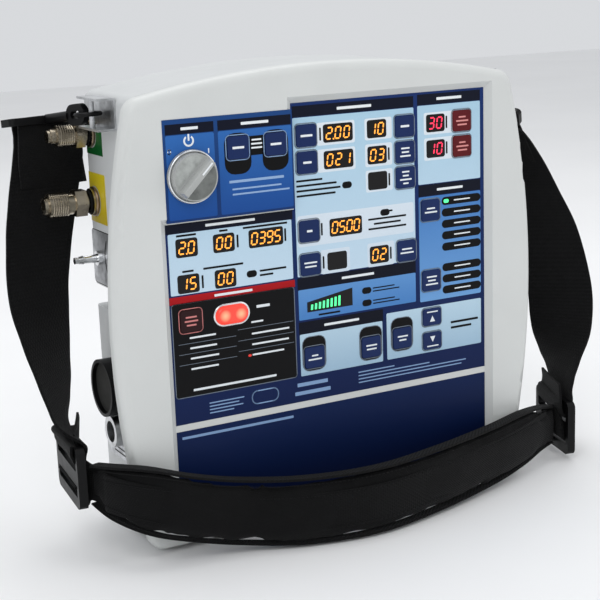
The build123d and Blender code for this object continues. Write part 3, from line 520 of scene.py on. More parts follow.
# %% Camera, lights and floor
scene = bpy.context.scene
camera = bpy.data.objects.new("camera", bpy.data.cameras.new("camera"))
scene.collection.objects.link(camera)
azimuth, elevation, roll = radians(28.09), radians(13.19), radians(2.05)
ahead = Vector((sin(azimuth) * cos(elevation), cos(azimuth) * cos(elevation), -sin(elevation)))
level = ahead.cross(Vector((0, 0, 1))).normalized()
down = ahead.cross(level)
right_axis = cos(roll) * level + sin(roll) * down
down_axis = cos(roll) * down - sin(roll) * level
turn = Matrix((right_axis, -down_axis, -ahead)).transposed().to_4x4()
camera.matrix_world = Matrix.Translation(Vector((-466.4, -870.7, 376.2)) * MM) @ turn
camera.data.angle = 2 * atan(300 / 1400)
camera.data.clip_end = 20
scene.camera = camera
scene.view_settings.view_transform = "Standard"

world = bpy.data.worlds.new("studio")
scene.world = world
world.use_nodes = True
world.node_tree.nodes["Background"].inputs["Color"].default_value = (0.95, 0.97, 1.0, 1.0)
world.node_tree.nodes["Background"].inputs["Strength"].default_value = 0.72


def soft_light(name, place, size, power, aim=(0, 0, 0.15)):
    lamp = bpy.data.lights.new(name, "AREA")
    lamp.size, lamp.energy = size, power
    lamp_object = bpy.data.objects.new(name, lamp)
    lamp_object.location = place
    lamp_object.rotation_euler = (Vector(aim) - Vector(place)).to_track_quat("-Z", "Y").to_euler()
    scene.collection.objects.link(lamp_object)


soft_light("key_light", (-1.1, -1.4, 1.7), 1.3, 12)
soft_light("fill_light", (1.6, -1.2, 1.0), 1.6, 5)
soft_light("top_light", (0.2, 0.5, 1.9), 1.4, 12)

floor_paint, floor_shader, floor_wire = start("floor", Specular_IOR_Level=0.2)
dapple = noise(floor_wire, 3.0, 4.0)
finish_with(floor_shader, floor_wire, colour=dapple.mix((0.86, 0.86, 0.86, 1), (0.93, 0.93, 0.93, 1)),
            roughness=0.7 + dapple * 0.2)
bm = bmesh.new()
bmesh.ops.create_grid(bm, x_segments=8, y_segments=8, size=4.0)
floor_mesh = bpy.data.meshes.new("floor")
bm.to_mesh(floor_mesh)
bm.free()
floor_mesh.materials.append(floor_paint)
floor = bpy.data.objects.new("floor", floor_mesh)
scene.collection.objects.link(floor)
print("camera at", [round(v, 3) for v in camera.location])

# %% [markdown]
# ## The printed panel
#
# The film is built up in layers, each a few hundredths of a millimetre proud of the last: coloured areas,
# dark headings, white plates behind the displays, then black windows. The words of a real panel are left
# out. Short plain bars stand where they would be, so the panel keeps its rhythm.

# %% Coloured areas, headings and plates
# the faces of the panel and the raised block, the step between layers, and how far a slab sinks in
PANEL, BLOCK, LAYER, SUNK = -50.6, -55.3, 0.05, 0.02


def print_film(name, material, outlines, layer, face=PANEL):
    return prisms(name, material, outlines, front(face - layer * LAYER), front(face + SUNK))


print_film("film_pale", pale, [
    area(-29.8, 174.2, 65.6, 282, 0.8), area(68.8, 227.4, 121.8, 282.6, 0.8),
    area(-123.4, 174.0, -33.2, 214.6, 0.8),
], 1)
print_film("film_pale_low", pale_low, [
    area(-29.8, 104.2, 36.6, 133.8, 0.8), area(40.2, 104.6, 121.8, 138.6, 1.0),
], 1)
print_film("film_modes", mid_blue, [area(68.8, 142.6, 121.8, 218.4, 1.0)], 1)
print_film("film_battery", battery_blue, [area(-29.8, 143.8, 65.2, 165.0, 0.8)], 1)
print_film("film_alarms", black_ink, [area(-123.6, 104.4, -33.0, 168.2, 2.0)], 1)
print_film("film_red", red_ink, [area(-124.8, 168.0, -32.2, 173.0)], 2)
print_film("film_headers", header, [
    area(-29.8, 282.4, 65.6, 289.8), area(68.8, 283.0, 121.8, 290.4), area(-124.8, 214.8, -32.2, 221.0),
    area(68.8, 218.8, 121.8, 226.8), area(-30.2, 165.2, 65.4, 173.4), area(-30.2, 134.0, 37.4, 142.4),
], 2)
print_film("film_plates", mist, [
    area(-11.6, 262.0, 18.0, 277.4, 1.5), area(-11.6, 243.8, 18.0, 259.4, 1.5),
    area(25.8, 262.4, 47.6, 277.2, 1.5), area(25.8, 244.0, 47.6, 259.6, 1.5),
    area(25.8, 226.4, 47.6, 241.6, 1.5), area(-28.6, 194.6, 64.4, 216.0, 1.5),
    area(-11.4, 173.8, 11.6, 190.6, 1.5), area(25.8, 173.8, 47.6, 190.6, 1.5),
    area(74.0, 262.0, 99.6, 277.4, 1.5), area(74.0, 243.8, 99.6, 259.6, 1.5),
], 2)
print_film("block_areas", start_blue, [
    area(-123.2, 224.2, -89.4, 278.4, 1.2), area(-86.6, 224.2, -33.4, 278.4, 1.2),
], 1, BLOCK)
print_film("block_headers", header, [
    area(-123.2, 278.9, -89.4, 285.4), area(-86.6, 278.9, -33.4, 285.4),
], 2, BLOCK)
print_film("alarm_outline", grey_ink, band(area(-123.6, 104.4, -33.0, 168.2, 2.0), 0.5), 2)

# black tabs behind some keys, and the long pods beside the mode keys
mode_rows = [213.7 - 8.3 * i for i in range(5)] + [165.5, 157.2, 149.0]
tabs = [rounded(x, z, 18.4, 24.4, 5.5) for x, z in ((-19.0, 119.2), (26.7, 119.2), (52.8, 121.8))]
pods = [area(88.2, z - 2.9, 121.8, z + 2.9, 2.85) for z in mode_rows]
print_film("film_tabs", black_ink, tabs + pods, 3)
print_film("tab_outlines", grey_ink, [s for tab in tabs for s in band(tab, 0.45)], 4)
print_film("block_tabs", black_ink, [
    area(-82.6, 249.6, -63.4, 276.4, 7.0), area(-55.1, 249.6, -35.9, 276.4, 7.0),
    area(-66.0, 261.0, -52.0, 273.6, 1.0),
], 3, BLOCK)
print("panel areas printed")

# %% [markdown]
# ## Windows and digits
#
# Each display is a smoked window over numerals of seven lit strokes. A font could write them, but a real
# display has gaps between its strokes and a slight lean, so each stroke is a slab of its own.

# %% Windows and digits
SEGMENTS = {
    "0": "abcdef", "1": "bc", "2": "abged", "3": "abgcd", "4": "fgbc", "5": "afgcd",
    "6": "afgedc", "7": "abc", "8": "abcdefg", "9": "abcdfg",
}
ALARM_COLUMN = 83.7
# x, z, width of the window, and what it shows
displays = [
    (-110.5, 204.8, 14.2, "2.0"), (-83.8, 204.8, 14.2, "00"), (-52.7, 204.8, 24.4, "0395"),
    (-110.5, 180.9, 14.2, "15"), (-83.8, 180.9, 14.2, "00"), (4.8, 269.8, 21.8, "2.00"),
    (4.8, 251.8, 21.8, "021"), (9.0, 205.2, 24.4, "0500"), (1.4, 182.0, 14.2, ""),
    (35.4, 269.8, 14.2, "10"), (35.4, 251.8, 14.2, "03"), (35.4, 234.0, 14.2, ""),
    (35.4, 182.0, 14.2, "02"), (ALARM_COLUMN, 269.8, 14.2, "30"), (ALARM_COLUMN, 251.8, 14.2, "10"),
]


def digit(shape, x, z, height=7.6, lean=0.14):
    """The lit strokes of one numeral, leaning a little to the right."""
    width, stroke = height * 0.52, height * 0.125
    half, bar = height / 2, width / 2
    middles = {"a": (0, half), "g": (0, 0), "d": (0, -half), "f": (-bar, half / 2), "b": (bar, half / 2),
               "e": (-bar, -half / 2), "c": (bar, -half / 2)}
    strokes = []
    for key in SEGMENTS[shape]:
        cx, cz = middles[key]
        w, h = (width * 0.78, stroke) if key in "agd" else (stroke, half * 0.8)
        outline = rounded(cx, cz, w, h, stroke * 0.42, 2)
        strokes.append([(x + a + b * lean, z + b) for a, b in outline])
    return strokes


windows, amber_strokes, red_strokes = [], [], []
for x, z, width, text in displays:
    windows.append(rounded(x, z, width + 1.4, 12.4, 1.8))
    numerals = [c for c in text if c != "."]
    pitch = (width - 1.4) / max(len(numerals), 1)
    strokes = []
    for i, c in enumerate(numerals):
        cx = x + (i - (len(numerals) - 1) / 2) * pitch
        strokes += digit(c, cx, z)
        if i == 0 and "." in text:
            strokes.append(rounded(cx + pitch * 0.47, z - 3.9, 1.1, 1.1, 0.4, 2))
    (red_strokes if x == ALARM_COLUMN else amber_strokes).extend(strokes)
print_film("display_windows", smoked, windows, 3)
print_film("amber_digits", amber, amber_strokes, 4)
print_film("red_digits", scarlet, red_strokes, 4)
print(len(windows), "windows and", len(amber_strokes) + len(red_strokes), "lit strokes")

# %% [markdown]
# ## Small lights
#
# A wedge of green bars shows the battery's charge, small oval lenses sit beside the keys, and the alarm lamp
# has a bright rim. The rim is a circle spun round an axis, then pulled sideways into a slot shape.

# %% Battery gauge, small lenses and the alarm lamp's rim
gauge = [(-23.3, 148.8), (12.7, 148.8), (12.7, 161.3), (-23.3, 155.8)]
print_film("gauge_window", smoked, [gauge], 4)
bars = []
for i in range(8):
    x = -20.6 + i * 3.1
    tall = 3.6 + i * 0.48
    bars.append([(x, 150.2), (x + 1.6, 150.2), (x + 2.0, 150.2 + tall), (x + 0.4, 150.2 + tall)])
print_film("gauge_bars", leaf, bars, 5)
ovals = [(-64.4, 181.4), (10.8, 233.5), (40.7, 211.2), (24.4, 157.6), (24.4, 148.7)]
print_film("oval_rims", black_ink, [rounded(x, z, 7.6, 4.6, 2.25, 6) for x, z in ovals], 3)
print_film("mode_light", leaf, [rounded(92.0, 213.7, 4.2, 2.6, 1.2, 5)], 5)
print_film("pressure_light", ember, [rounded(-68.4, 125.6, 2.4, 1.6, 0.7, 4)], 3)

turned_ring("lamp_rim", bright, (-80.7, PANEL - 0.3, 156.2), (0, 1, 0), 7.0, 0.95, stretch=5.6)
print("lights placed")

# %% [markdown]
# ## Marks on the keys and the film
#
# A bar is a stroke of ink in place of a word. The keys carry their own bars, which ride with them.

# %% Bars, key rims (painted highlights) and arrows
def lines(x, z, widths, tall=0.95, pitch=2.3, start_left=False):
    """Rows of bars, one below the other, centred on x or starting at it."""
    shapes = []
    for row, width in enumerate(widths):
        cz = z - row * pitch
        cx = x + width / 2 if start_left else x
        shapes.append(rounded(cx, cz, width, tall, 0.3, 2))
    return shapes


def blocks_of_lines(*table):
    """Several blocks of bars, each with the values that lines() takes."""
    return [shape for row in table for shape in lines(*row)]


# the length of each bar on each key
keys = {
    "key_adult": [8.4], "key_child": [8.0], "key_inspiratory_time": [9.0], "key_oxygen_percent": [6.4],
    "key_tidal_volume": [4.2], "key_pressure_support": [10.0, 9.0], "key_breath_rate": [7.0],
    "key_end_pressure": [7.0, 6.0, 8.6], "key_peak_pressure": [6.0, 5.0, 9.6, 4.4],
    "key_trigger": [8.4, 11.0], "key_high_alarm": [6.0, 10.4, 8.0], "key_low_alarm": [5.4, 10.4, 8.0],
    "key_mode": [6.8, 10.4], "key_custom_mode": [8.6, 6.6, 10.4], "key_alarm_silence": [8.0, 9.6, 7.0],
    "key_oxygen_flush": [5.0, 10.6], "key_manual_breath": [9.0, 8.0], "key_control_lock": [8.6, 6.0],
    "key_increase": [9.4], "key_decrease": [9.8],
}
for name, widths in keys.items():
    low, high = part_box(name)
    x, face = (low[0] + high[0]) * 500, low[1] * 1000
    # the retaining lips stick out above and below, so the cap is 1.4 mm shorter at each end
    z, tall = (low[2] + high[2]) * 500, (high[2] - low[2]) * 1000 - 2.8
    film = BLOCK if name in ("key_adult", "key_child") else PANEL
    shapes = lines(x, z + (len(widths) - 1) * 1.35, widths, 1.5 if len(widths) == 1 else 1.1, 2.7)
    if name in ("key_increase", "key_decrease"):
        sign = 1 if name == "key_increase" else -1
        shapes = lines(x, z + sign * 3.8, widths, 0.9, 2.7)
        shapes.append([(x - 2.2, z - sign * 3.4), (x + 2.2, z - sign * 3.4), (x, z + sign * 0.9)][::sign])
    mark = pink_ink if name in ("key_high_alarm", "key_low_alarm", "key_alarm_silence") else white_ink
    prisms(name + "_mark", mark, shapes, front(face - 0.06), front(face + SUNK), name)
    # a pale line of film round each key is a painted highlight, standing for the light caught along the key's
    # edge
    rim = {"key_alarm_silence": pink_ink, "key_adult": ice_ink, "key_child": ice_ink}.get(name, grey_ink)
    outline = rounded(x, z, 16.9, tall + 1.4, 2.8)
    prisms(name + "_rim", rim, band(outline, 0.55), front(film - 0.3), front(film + SUNK))

white_bars = blocks_of_lines(
    (17.9, 286.0, [27.0], 1.9), (95.3, 286.6, [21.0], 1.9), (-78.5, 217.9, [36.0], 1.7),
    (95.3, 222.7, [22.0], 1.7), (17.6, 169.2, [26.0], 1.7), (3.6, 138.1, [28.0], 1.7),
    (-78.5, 170.5, [28.0], 1.6), (-62.0, 158.6, [10.0], 1.8, 2.3, True),
    (-111.0, 108.6, [62.0], 1.5, 2.3, True),
)
for x, column in (
    (-111.8, ((144.4, 19.0), (137.4, 19.4), (130.4, 20.6), (123.2, 20.0))),
    (-66.4, ((148.4, 9.0), (140.4, 28.6), (133.0, 28.0), (125.8, 24.0))),
):
    for z, width in column:
        white_bars += lines(x, z, [width], 1.2, start_left=True)
for z in mode_rows:
    white_bars += lines(98.6, z, [14.0], 0.9, start_left=True)
print_film("white_bars", white_ink, white_bars, 4)
print_film("alarm_rules", grey_ink, [
    area(left_end, z - 0.15, left_end + 42, z + 0.15)
    for left_end, rows in ((-120.0, (140.8, 133.8, 126.6)), (-76.6, (144.6, 136.8, 129.6))) for z in rows
], 4)
print_film("block_bars", white_ink, blocks_of_lines(
    (-106.4, 282.2, [12.0], 1.8), (-60.0, 282.2, [20.0], 1.8), (-59.2, 271.0, [7.0, 8.0, 8.0], 1.1, 2.6),
), 4, BLOCK)
print_film("block_notes", ice_ink, blocks_of_lines(
    (-80.0, 245.0, [40.0], 1.7, 2.3, True), (-78.0, 240.0, [36.0, 42.0], 1.1, 3.4, True),
), 2, BLOCK)
dark_bars = blocks_of_lines(
    (-110.5, 213.0, [14.0], 1.3), (-83.8, 213.0, [6.0], 1.3), (-53.0, 212.9, [33.0], 1.3),
    (-110.5, 189.2, [8.0], 1.3), (-85.0, 189.4, [29.0], 1.3), (-58.4, 182.6, [20.0, 10.0], 1.3, 3.0, True),
    (-28.4, 239.6, [20.0, 31.0, 34.0, 30.0], 1.3, 3.4, True), (45.4, 212.0, [3.0], 1.2),
    (42.5, 207.4, [31.0, 22.0, 31.0], 1.3, 3.4), (-6.0, 145.9, [17.0], 1.2),
    (95.0, 124.0, [24.0, 18.0], 1.6, 4.0, True), (29.4, 158.6, [18.0, 22.0], 0.8, 2.2, True),
    (29.4, 149.8, [18.0, 22.0], 0.8, 2.2, True),
)
print_film("dark_bars", black_ink, dark_bars, 4)
# units stand on end beside the displays
units = [(-9.0, 269.8), (44.8, 251.8), (44.8, 234.0), (-10.0, 205.2), (-9.4, 182.0), (44.8, 182.0),
         (93.0, 269.8), (93.0, 251.8), (-73.8, 204.8), (-38.2, 204.8), (-100.4, 180.9)]
print_film("unit_bars", black_ink, [rounded(x, z, 1.3, 8.6, 0.4, 2) for x, z in units], 4)
foot = blocks_of_lines(
    (-100.0, 97.6, [26.0, 22.0, 25.0, 18.0], 0.8, 2.3, True), (-33.0, 98.2, [24.0], 2.6, 2.3, True),
    (-35.0, 92.2, [28.0], 2.6, 2.3, True), (16.0, 99.4, [30.0, 60.0, 92.0, 88.0], 0.8, 2.5, True),
)
print_film("foot_bars", ice_ink, foot, 2)
print_film("foot_mark", ice_ink, band(rounded(-58.0, 95.4, 20.0, 9.0, 4.0, 6), 0.8), 2)
print_film("model_bar", ice_ink, lines(-121.0, 76.6, [84.0], tall=1.8, start_left=True), 1)
print("marks:", len(white_bars) + len(dark_bars), "bars")

# %% [markdown]
# ## The power knob
#
# The knob has a raised grip at 45 degrees between two dished faces. The dishes could be cut into it, but
# their shine tells more than their depth, so each is a thin half disc of dull metal: the upper one is painted
# light as the lit side, the lower one painted dark as the shaded side. They, the rim and the white line ride
# on the knob and turn with it.

# %% The dial's marks
KNOB = (-106.4, 251.4)
marks = [rounded(-121.0, 268.2, 1.9, 3.0, 0.9, 5), rounded(-93.6, 266.8, 0.8, 3.2, 0.2, 2)]
print_film("dial_marks", white_ink, band(marks[0], 0.6) + [marks[1]], 2, BLOCK)
symbol = []
for i in range(22):
    a = radians(125 + i * 290 / 22)
    b = radians(125 + (i + 1) * 290 / 22)
    cx, cz = -107.2, 274.2
    symbol.append([(cx + r * cos(t), cz + r * sin(t)) for r, t in ((2.5, a), (3.7, a), (3.7, b), (2.5, b))])
symbol.append(rounded(-107.2, 276.4, 1.2, 4.4, 0.4, 2))
print_film("power_symbol", white_ink, symbol, 2, BLOCK)
turned_ring("knob_rim", bright, (KNOB[0], -57.9, KNOB[1]), (0, 1, 0), 16.6, 0.7, "power_knob")


def half_moon(side, clear=4.4, radius=14.4):
    """The dished face of the knob on one side of its grip, which lies at 45 degrees."""
    reach = (radius ** 2 - clear ** 2) ** 0.5
    spread = atan2(reach, clear)
    turn_by = radians(135 if side > 0 else -45)
    angles = [turn_by + spread * (i / 10 - 1) for i in range(21)]
    return [(KNOB[0] + radius * cos(angle), KNOB[1] + radius * sin(angle)) for angle in angles]


# the upper dish takes the metal painted light as the lit side, the lower one the metal painted dark as the
# shaded side
dish_front, dish_back = front(-62.4 - 0.12), front(-62.3)
prisms("knob_dish_upper_lit", knob_lit_dish, [half_moon(1)], dish_front, dish_back, "power_knob")
prisms("knob_dish_lower_shaded", knob_shadow, [half_moon(-1)], dish_front, dish_back, "power_knob")
grip_line = [(KNOB[0] + a, KNOB[1] + b) for a, b in ((1.6, 2.4), (2.4, 1.6), (9.6, 8.8), (8.8, 9.6))]
prisms("knob_pointer", white_ink, [grip_line], front(-68.5), front(-68.3), "power_knob")
print("dial marked")

# %% [markdown]
# ## The left side
#
# Coloured labels tell the gases apart: green for oxygen and yellow for air. Each has a round bite out of its
# edge where the fitting stands. A silver plate sits round the pressure port.

# %% Labels on the left side
SIDE = -143.0
# how far back and how high the axes of the two gas fittings are
OXYGEN, AIR = (25.0, 275.5), (25.0, 229.5)


def cut_label(y0, z0, y1, z1, cy, cz, radius):
    """A label with a round bite out of its back edge, where a fitting stands."""
    points = [(y0, z0), (y1, z0)]
    edge = y1 - cy
    start_angle = atan((radius ** 2 - edge ** 2) ** 0.5 / edge)
    for i in range(25):
        angle = -start_angle - (2 * pi - 2 * start_angle) * i / 24
        points.append((cy + radius * cos(angle), cz + radius * sin(angle)))
    points += [(y1, z1), (y0, z1)]
    return points


def side_label(name, material, outlines, layer):
    return prisms(name, material, outlines, left(SIDE - layer * 0.12), left(SIDE + SUNK))


side_label("green_label", green_label, [cut_label(5.0, 261.5, 34.5, 289.5, *OXYGEN, 9.8)], 1)
side_label("yellow_label", yellow_label, [cut_label(4.5, 215.0, 34.5, 249.0, *AIR, 10.4)], 1)
side_label("silver_plate", silver_label, [area(1.5, 172.4, 35.5, 209.0, 2.5)], 2)
side_label("plate_border", black_ink, [area(0.9, 171.8, 36.1, 209.6, 3.0)], 1)
# a band closes its outline, so the last stroke is left off an open curve
plate_curve = [(9 + 4 * sin(pi * i / 12), 180 + i * 2.0) for i in range(13)]
guide_curve = [(-23.5 + 2.5 * cos(pi * i / 10), 263 + i * 1.1) for i in range(11)]
side_label("plate_mark", black_ink, band(plate_curve, 0.9)[:-1], 3)
side_label("guide_mark", black_ink, band(guide_curve, 0.8)[:-1], 1)
side_label("outlet_label", silver_label, [area(-16.0, 50.0, 30.0, 60.0, 1.5)], 1)
side_label("outlet_bars", black_ink, lines(7.0, 57.0, [32.0, 24.0], 1.1, 3.2), 2)
print("side labels placed")

# %% [markdown]
# ## Threads on the gas fittings
#
# A bump in the material could draw a thread, but its outline would stay smooth. A small triangle spun round
# the fitting while it moves along gives a real ridge. Rings make the brass collars and the rubber seals.

# %% Threads on the gas fittings
def thread(name, axis_y, axis_z, radius, x_start, x_end, pitch, material):
    """A fine helical ridge: a small triangle spun round the fitting while it moves along."""
    bm = bmesh.new()
    turns, steps = abs(x_end - x_start) / pitch, 24
    corners = [bm.verts.new((x_start + dx, axis_y, axis_z + radius + dr)) for dx, dr in
               ((-0.4 * pitch, -0.2), (0.0, 0.5), (0.4 * pitch, -0.2))]
    bm.faces.new(corners)
    run = (x_end - x_start) / turns / steps
    bmesh.ops.spin(bm, geom=bm.faces[:], cent=(x_start, axis_y, axis_z), axis=(1, 0, 0), dvec=(run, 0, 0),
                   angle=2 * pi * turns, steps=int(turns * steps))
    bmesh.ops.scale(bm, vec=(MM, MM, MM), verts=bm.verts[:])
    return link(name, bm, material)


thread("oxygen_thread", *OXYGEN, 6.9, -156.4, -167.0, 1.5, plated)
thread("air_thread", *AIR, 8.0, -164.6, -176.0, 1.6, plated)
turned_ring("oxygen_collar", dull_brass, (-144.4, *OXYGEN), (1, 0, 0), 8.4, 1.1)
turned_ring("air_collar", dull_brass, (-144.4, *AIR), (1, 0, 0), 9.0, 1.2)
turned_ring("oxygen_seal", black_rubber, (-146.6, *OXYGEN), (1, 0, 0), 7.0, 0.9)
turned_ring("air_seal", black_rubber, (-148.0, *AIR), (1, 0, 0), 7.0, 0.9)
print("fittings detailed")

# %% [markdown]
# ## The strap
#
# Each end of the strap is one length of 50 mm webbing. It is folded through the hook's frame and stitched,
# runs down beside the case, twists, goes through the buckle's upper slot and comes back up behind itself.
# A cloth simulation could hang it, but would not land on the same folds each time. So its path is a list of
# stations, each with a centre and the way the width faces, and a smooth curve is led through them.

# %% Webbing
WEB_W, WEB_T = 50.0, 1.7
UP = Vector((0, 0, 1))


def across_at(angle):
    """Direction of the webbing's width: 0 is to the right, and a positive angle brings that edge forward."""
    return Vector((cos(radians(angle)), -sin(radians(angle)), 0))


def strap_route(hook, main, buckle, outer, tail):
    """Stations (x, y, z, angle, width share) from the strap's stitched end to its free end."""
    hook_point, hook_angle = Vector(hook[0]), hook[1]
    buckle_point, buckle_angle = Vector(buckle[0]), buckle[1]
    fall = (Vector(main[0][0]) - hook_point).normalized()
    face = across_at(hook_angle).cross(fall).normalized() * outer
    side = across_at(buckle_angle).cross(UP).normalized() * outer
    stations = [(*(hook_point + fall * d + face * f), hook_angle, w) for d, f, w in (
        (46, -1.6, 1.0), (26, -2.2, 0.96), (10, -4.2, 0.9), (1.5, -4.4, 0.86), (-1.6, 0, 0.86),
        (1.5, 4.2, 0.86), (12, 2.6, 0.9))]
    stations += [(*centre, angle, 1.0) for centre, angle in main]
    stations += [(*(buckle_point + UP * d + side * f), buckle_angle, 1.0) for d, f in (
        (22, 4.2), (16, 4.6), (9.6, 1.9), (9.6, -1.9), (16, -4.6), (22, -4.6))]
    return stations + [(*centre, angle, 1.0) for centre, angle in tail]


def webbing(name, node, stations):
    """One end of the strap with its stitching, in place of the solid model's plain one."""
    count = 12 * len(stations)
    line = [between(stations, i / count) for i in range(count + 1)]

    def bend(s, t):
        i = min(int(t * count + 0.5), count)
        here = line[i]
        along = Vector(line[min(i + 1, count)][:3]) - Vector(line[max(i - 1, 0)][:3])
        across = across_at(here[3])
        normal = across.cross(along).normalized()
        ripple = 0.25 * sin(i * 0.23) + 0.15 * sin(i * 0.61 + 1.0)
        return Vector(here[:3]) + across * s * here[4] * WEB_W / 2 + normal * (0.5 * (1 - s * s) + ripple * s)

    piece = ribbon(name, webbing_black, count, bend, WEB_W, WEB_T)
    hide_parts(node)
    places = []
    # the rows of stitching keep clear of the folds at both ends
    for i in range(84, count - 70, 2):
        a, b = Vector(line[i][:3]), Vector(line[i + 1][:3])
        across = across_at(line[i][3])
        normal = across.cross(b - a).normalized()
        places += [(a + across * edge * 21.5 + normal * (WEB_T / 2 + 0.2), b - a, normal) for edge in (-1, 1)]
    stitch_row(name + "_stitches", places)


left_buckle = ((-186.0, -12.0, 58.5), -84)
webbing("left_strap", "left_webbing", strap_route(((-169.0, 45.0, 285.0), -10), [
    ((-166.0, 48.5, 262.0), -2), ((-172.0, 48.0, 232.0), -4), ((-177.5, 46.5, 203.0), -9),
    ((-182.0, 42.5, 168.0), -19), ((-182.0, 33.0, 136.0), -34), ((-183.0, 16.0, 108.0), -50),
    ((-186.0, -3.0, 91.0), -64),
], left_buckle, 1, [((-180.0, -9.0, 78.0), -72), ((-179.0, -5.0, 86.0), -66)]))
right_buckle = ((205.5, -33.0, 25.5), 108)
webbing("right_strap", "right_webbing", strap_route(((170.0, 11.0, 268.0), 65), [
    ((179.0, 11.0, 250.0), 58), ((188.5, 4.0, 231.0), 48), ((198.0, -5.0, 205.0), 38),
    ((211.0, -12.0, 174.0), 37), ((220.0, -18.0, 132.0), 40), ((218.5, -23.0, 101.0), 57),
    ((213.0, -28.0, 76.0), 90), ((211.5, -31.0, 60.0), 106),
], right_buckle, -1, [((203.0, -31.5, 50.0), 113), ((203.5, -30.0, 60.0), 113)]))
print("webbing made")

# %% [markdown]
# ## The shoulder pad
#
# A foam pad in a woven cover hangs in front of the case, on its lower edge. Its plain shape is a tube bent
# along a path. That alone looks like plastic, so a cloth simulation swells it a little, as stuffing does.

# %% Pad body
# x, y, z of the centre, then height and thickness
pad_stations = [
    (-179.0, -30.0, 52.0, 26.0, 5.0), (-171.0, -54.0, 50.0, 39.0, 9.0), (-152.0, -69.0, 44.6, 48.0, 11.0),
    (-124.0, -75.0, 36.0, 48.0, 11.0), (-92.0, -80.0, 28.6, 48.0, 11.0), (-52.0, -94.0, 25.4, 49.0, 11.0),
    (-2.0, -103.0, 25.4, 49.0, 11.0), (54.0, -94.0, 26.0, 48.0, 11.0), (110.0, -78.0, 27.0, 46.0, 11.0),
    (146.0, -65.5, 29.0, 43.0, 11.0), (174.0, -51.0, 28.0, 36.0, 9.0), (194.0, -42.0, 26.0, 30.0, 5.0),
]


def pad_frame(t):
    """Centre, upward half width, outward half thickness at t along the pad."""
    now = between(pad_stations, t)
    ahead_of, behind = between(pad_stations, min(t + 0.01, 1)), between(pad_stations, max(t - 0.01, 0))
    along = Vector((ahead_of[0] - behind[0], ahead_of[1] - behind[1], 0)).normalized()
    outward = Vector((along.y, -along.x, 0))
    return Vector(now[:3]), Vector((0, 0, now[3] / 2)), outward * (now[4] / 2), along


def pad_point(angle, t, share):
    """A point on the pad's skin: an oblong section, flattened, with round edges."""
    centre, up, out, _ = pad_frame(t)
    a, b = cos(angle), sin(angle)
    a = abs(a) ** 0.55 * (1 if a > 0 else -1)
    b = abs(b) ** 0.75 * (1 if b > 0 else -1)
    return centre + up * a * share + out * b * share * (0.86 + 0.05 * sin(t * 60))


bm = bmesh.new()
bmesh.ops.create_cone(bm, cap_ends=True, segments=28, radius1=1.0, radius2=1.0, depth=2.0)
long_edges = [e for e in bm.edges if abs(e.verts[0].co.z - e.verts[1].co.z) > 1]
bmesh.ops.subdivide_edges(bm, edges=long_edges, cuts=71, use_grid_fill=True)
for vert in bm.verts:
    vert.co = pad_point(atan2(vert.co.y, vert.co.x), (vert.co.z + 1) / 2, 0.96) * MM
pad = link("shoulder_pad_cover", bm, pad_black, smooth=True)
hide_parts("shoulder_pad")


def inflate(piece, cap, voxel=0.005, pressure=4.0, frames=20):
    """Remesh the piece, blow it up as cloth, and keep each point within the cap."""
    bpy.context.view_layer.objects.active = piece
    remesh = piece.modifiers.new("Remesh", "REMESH")
    remesh.mode, remesh.voxel_size = "VOXEL", voxel
    depsgraph = bpy.context.evaluated_depsgraph_get()
    mesh = bpy.data.meshes.new_from_object(piece.evaluated_get(depsgraph))
    piece.modifiers.clear()
    piece.data = mesh
    rest = [v.co.copy() for v in mesh.vertices]
    cloth = piece.modifiers.new("Cloth", "CLOTH")
    cloth.settings.use_pressure = True
    cloth.settings.uniform_pressure_force = pressure
    cloth.settings.quality = 5
    cloth.settings.effector_weights.gravity = 0
    scene.frame_start = 1
    for number in range(1, frames + 1):
        scene.frame_set(number)
    depsgraph = bpy.context.evaluated_depsgraph_get()
    moved = [v.co.copy() for v in piece.evaluated_get(depsgraph).data.vertices]
    piece.modifiers.clear()
    scene.frame_set(1)
    for vertex, old, new in zip(mesh.vertices, rest, moved):
        step = new - old
        if step.length > cap:
            step *= cap / step.length
        vertex.co = old + step
    mesh.materials.clear()
    mesh.materials.append(pad_black)
    mesh.shade_smooth()
    smooth = piece.modifiers.new("Smooth", "SUBSURF")
    smooth.levels = smooth.render_levels = 1


inflate(pad, 0.0035)
print("pad has", len(pad.data.vertices), "points")

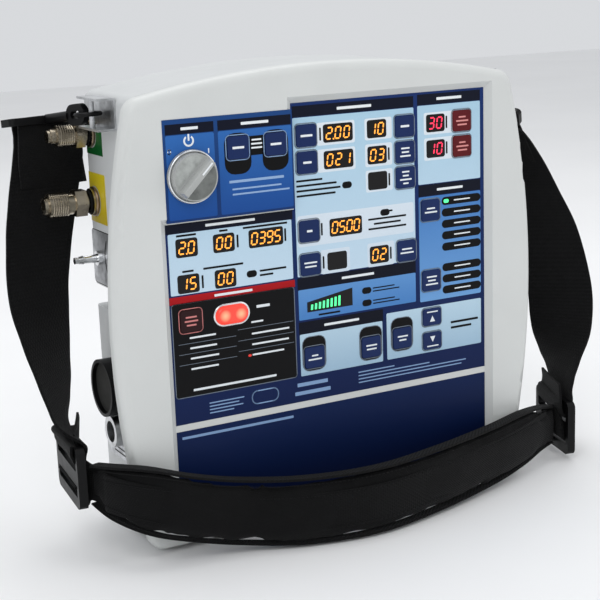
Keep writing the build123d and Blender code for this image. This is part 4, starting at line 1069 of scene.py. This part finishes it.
# %% [markdown]
# ## Binding, quilting and end tabs
#
# Tape folded over the pad's edges hides its seams, and rows of stitching hold the cover to the foam. A seam
# could be drawn in the material, but tape has a thickness that catches light. The tapes follow the pad's
# own centre line.

# %% Pad binding, quilting and end tabs
def pad_tape(name, width, thickness, trim, shift):
    """A tape along the pad. shift(up, out) places it, and its width runs along out or up."""
    def bend(s, t):
        centre, up, out, _ = pad_frame(trim + (1 - 2 * trim) * t)
        offset, run = shift(up, out)
        return centre + offset + run.normalized() * s * width / 2
    return ribbon(name, webbing_black, 90, bend, width, thickness)


pad_tape("upper_binding", 8.4, 1.8, 0.02, lambda up, out: (up * 0.93, out))
pad_tape("lower_binding", 8.4, 1.2, 0.02, lambda up, out: (up * -0.92, out))
pad_tape("front_tape", 26.0, 1.4, 0.07, lambda up, out: (out, up))
places = []
for row, lift in ((-0.47, 1.2), (0.47, 1.2), (-0.8, 0.98), (0.8, 0.98)):
    for i in range(8, 172):
        centre, up, out, along = pad_frame(0.02 + 0.96 * i / 180)
        places.append((centre + up * row + out * lift, along, out))
stitch_row("pad_stitches", places)


def tab(name, buckle, angle, pad_end, pad_along, width):
    """The short webbing that joins the pad's end to the buckle's lower slot, and folds back through it."""
    low = Vector(buckle) - UP * 9.0
    side = across_at(angle).cross(UP).normalized()
    route = [(*(pad_end - pad_along * 14), 0.0), (*pad_end, 0.0), (*((pad_end + low) / 2), 0.5),
             (*(low + side * 3.6), 1.0), (*(low - UP * 1.5), 1.0), (*(low - side * 3.6 + UP * 3), 1.0)]

    def bend(s, t):
        x, y, z, turned = between(route, t)
        turned = min(1.0, max(0.0, turned))
        half = (width + (46 - width) * turned) / 2
        return Vector((x, y, z)) + (UP * (1 - turned) + across_at(angle) * turned).normalized() * s * half

    return ribbon(name, webbing_black, 36, bend, 46, WEB_T)


first, last = pad_frame(0.0), pad_frame(1.0)
tab("left_tab", *left_buckle, first[0], -first[3], 25.0)
tab("right_tab", right_buckle[0], 104, last[0], last[3], 30.0)
print("pad finished")
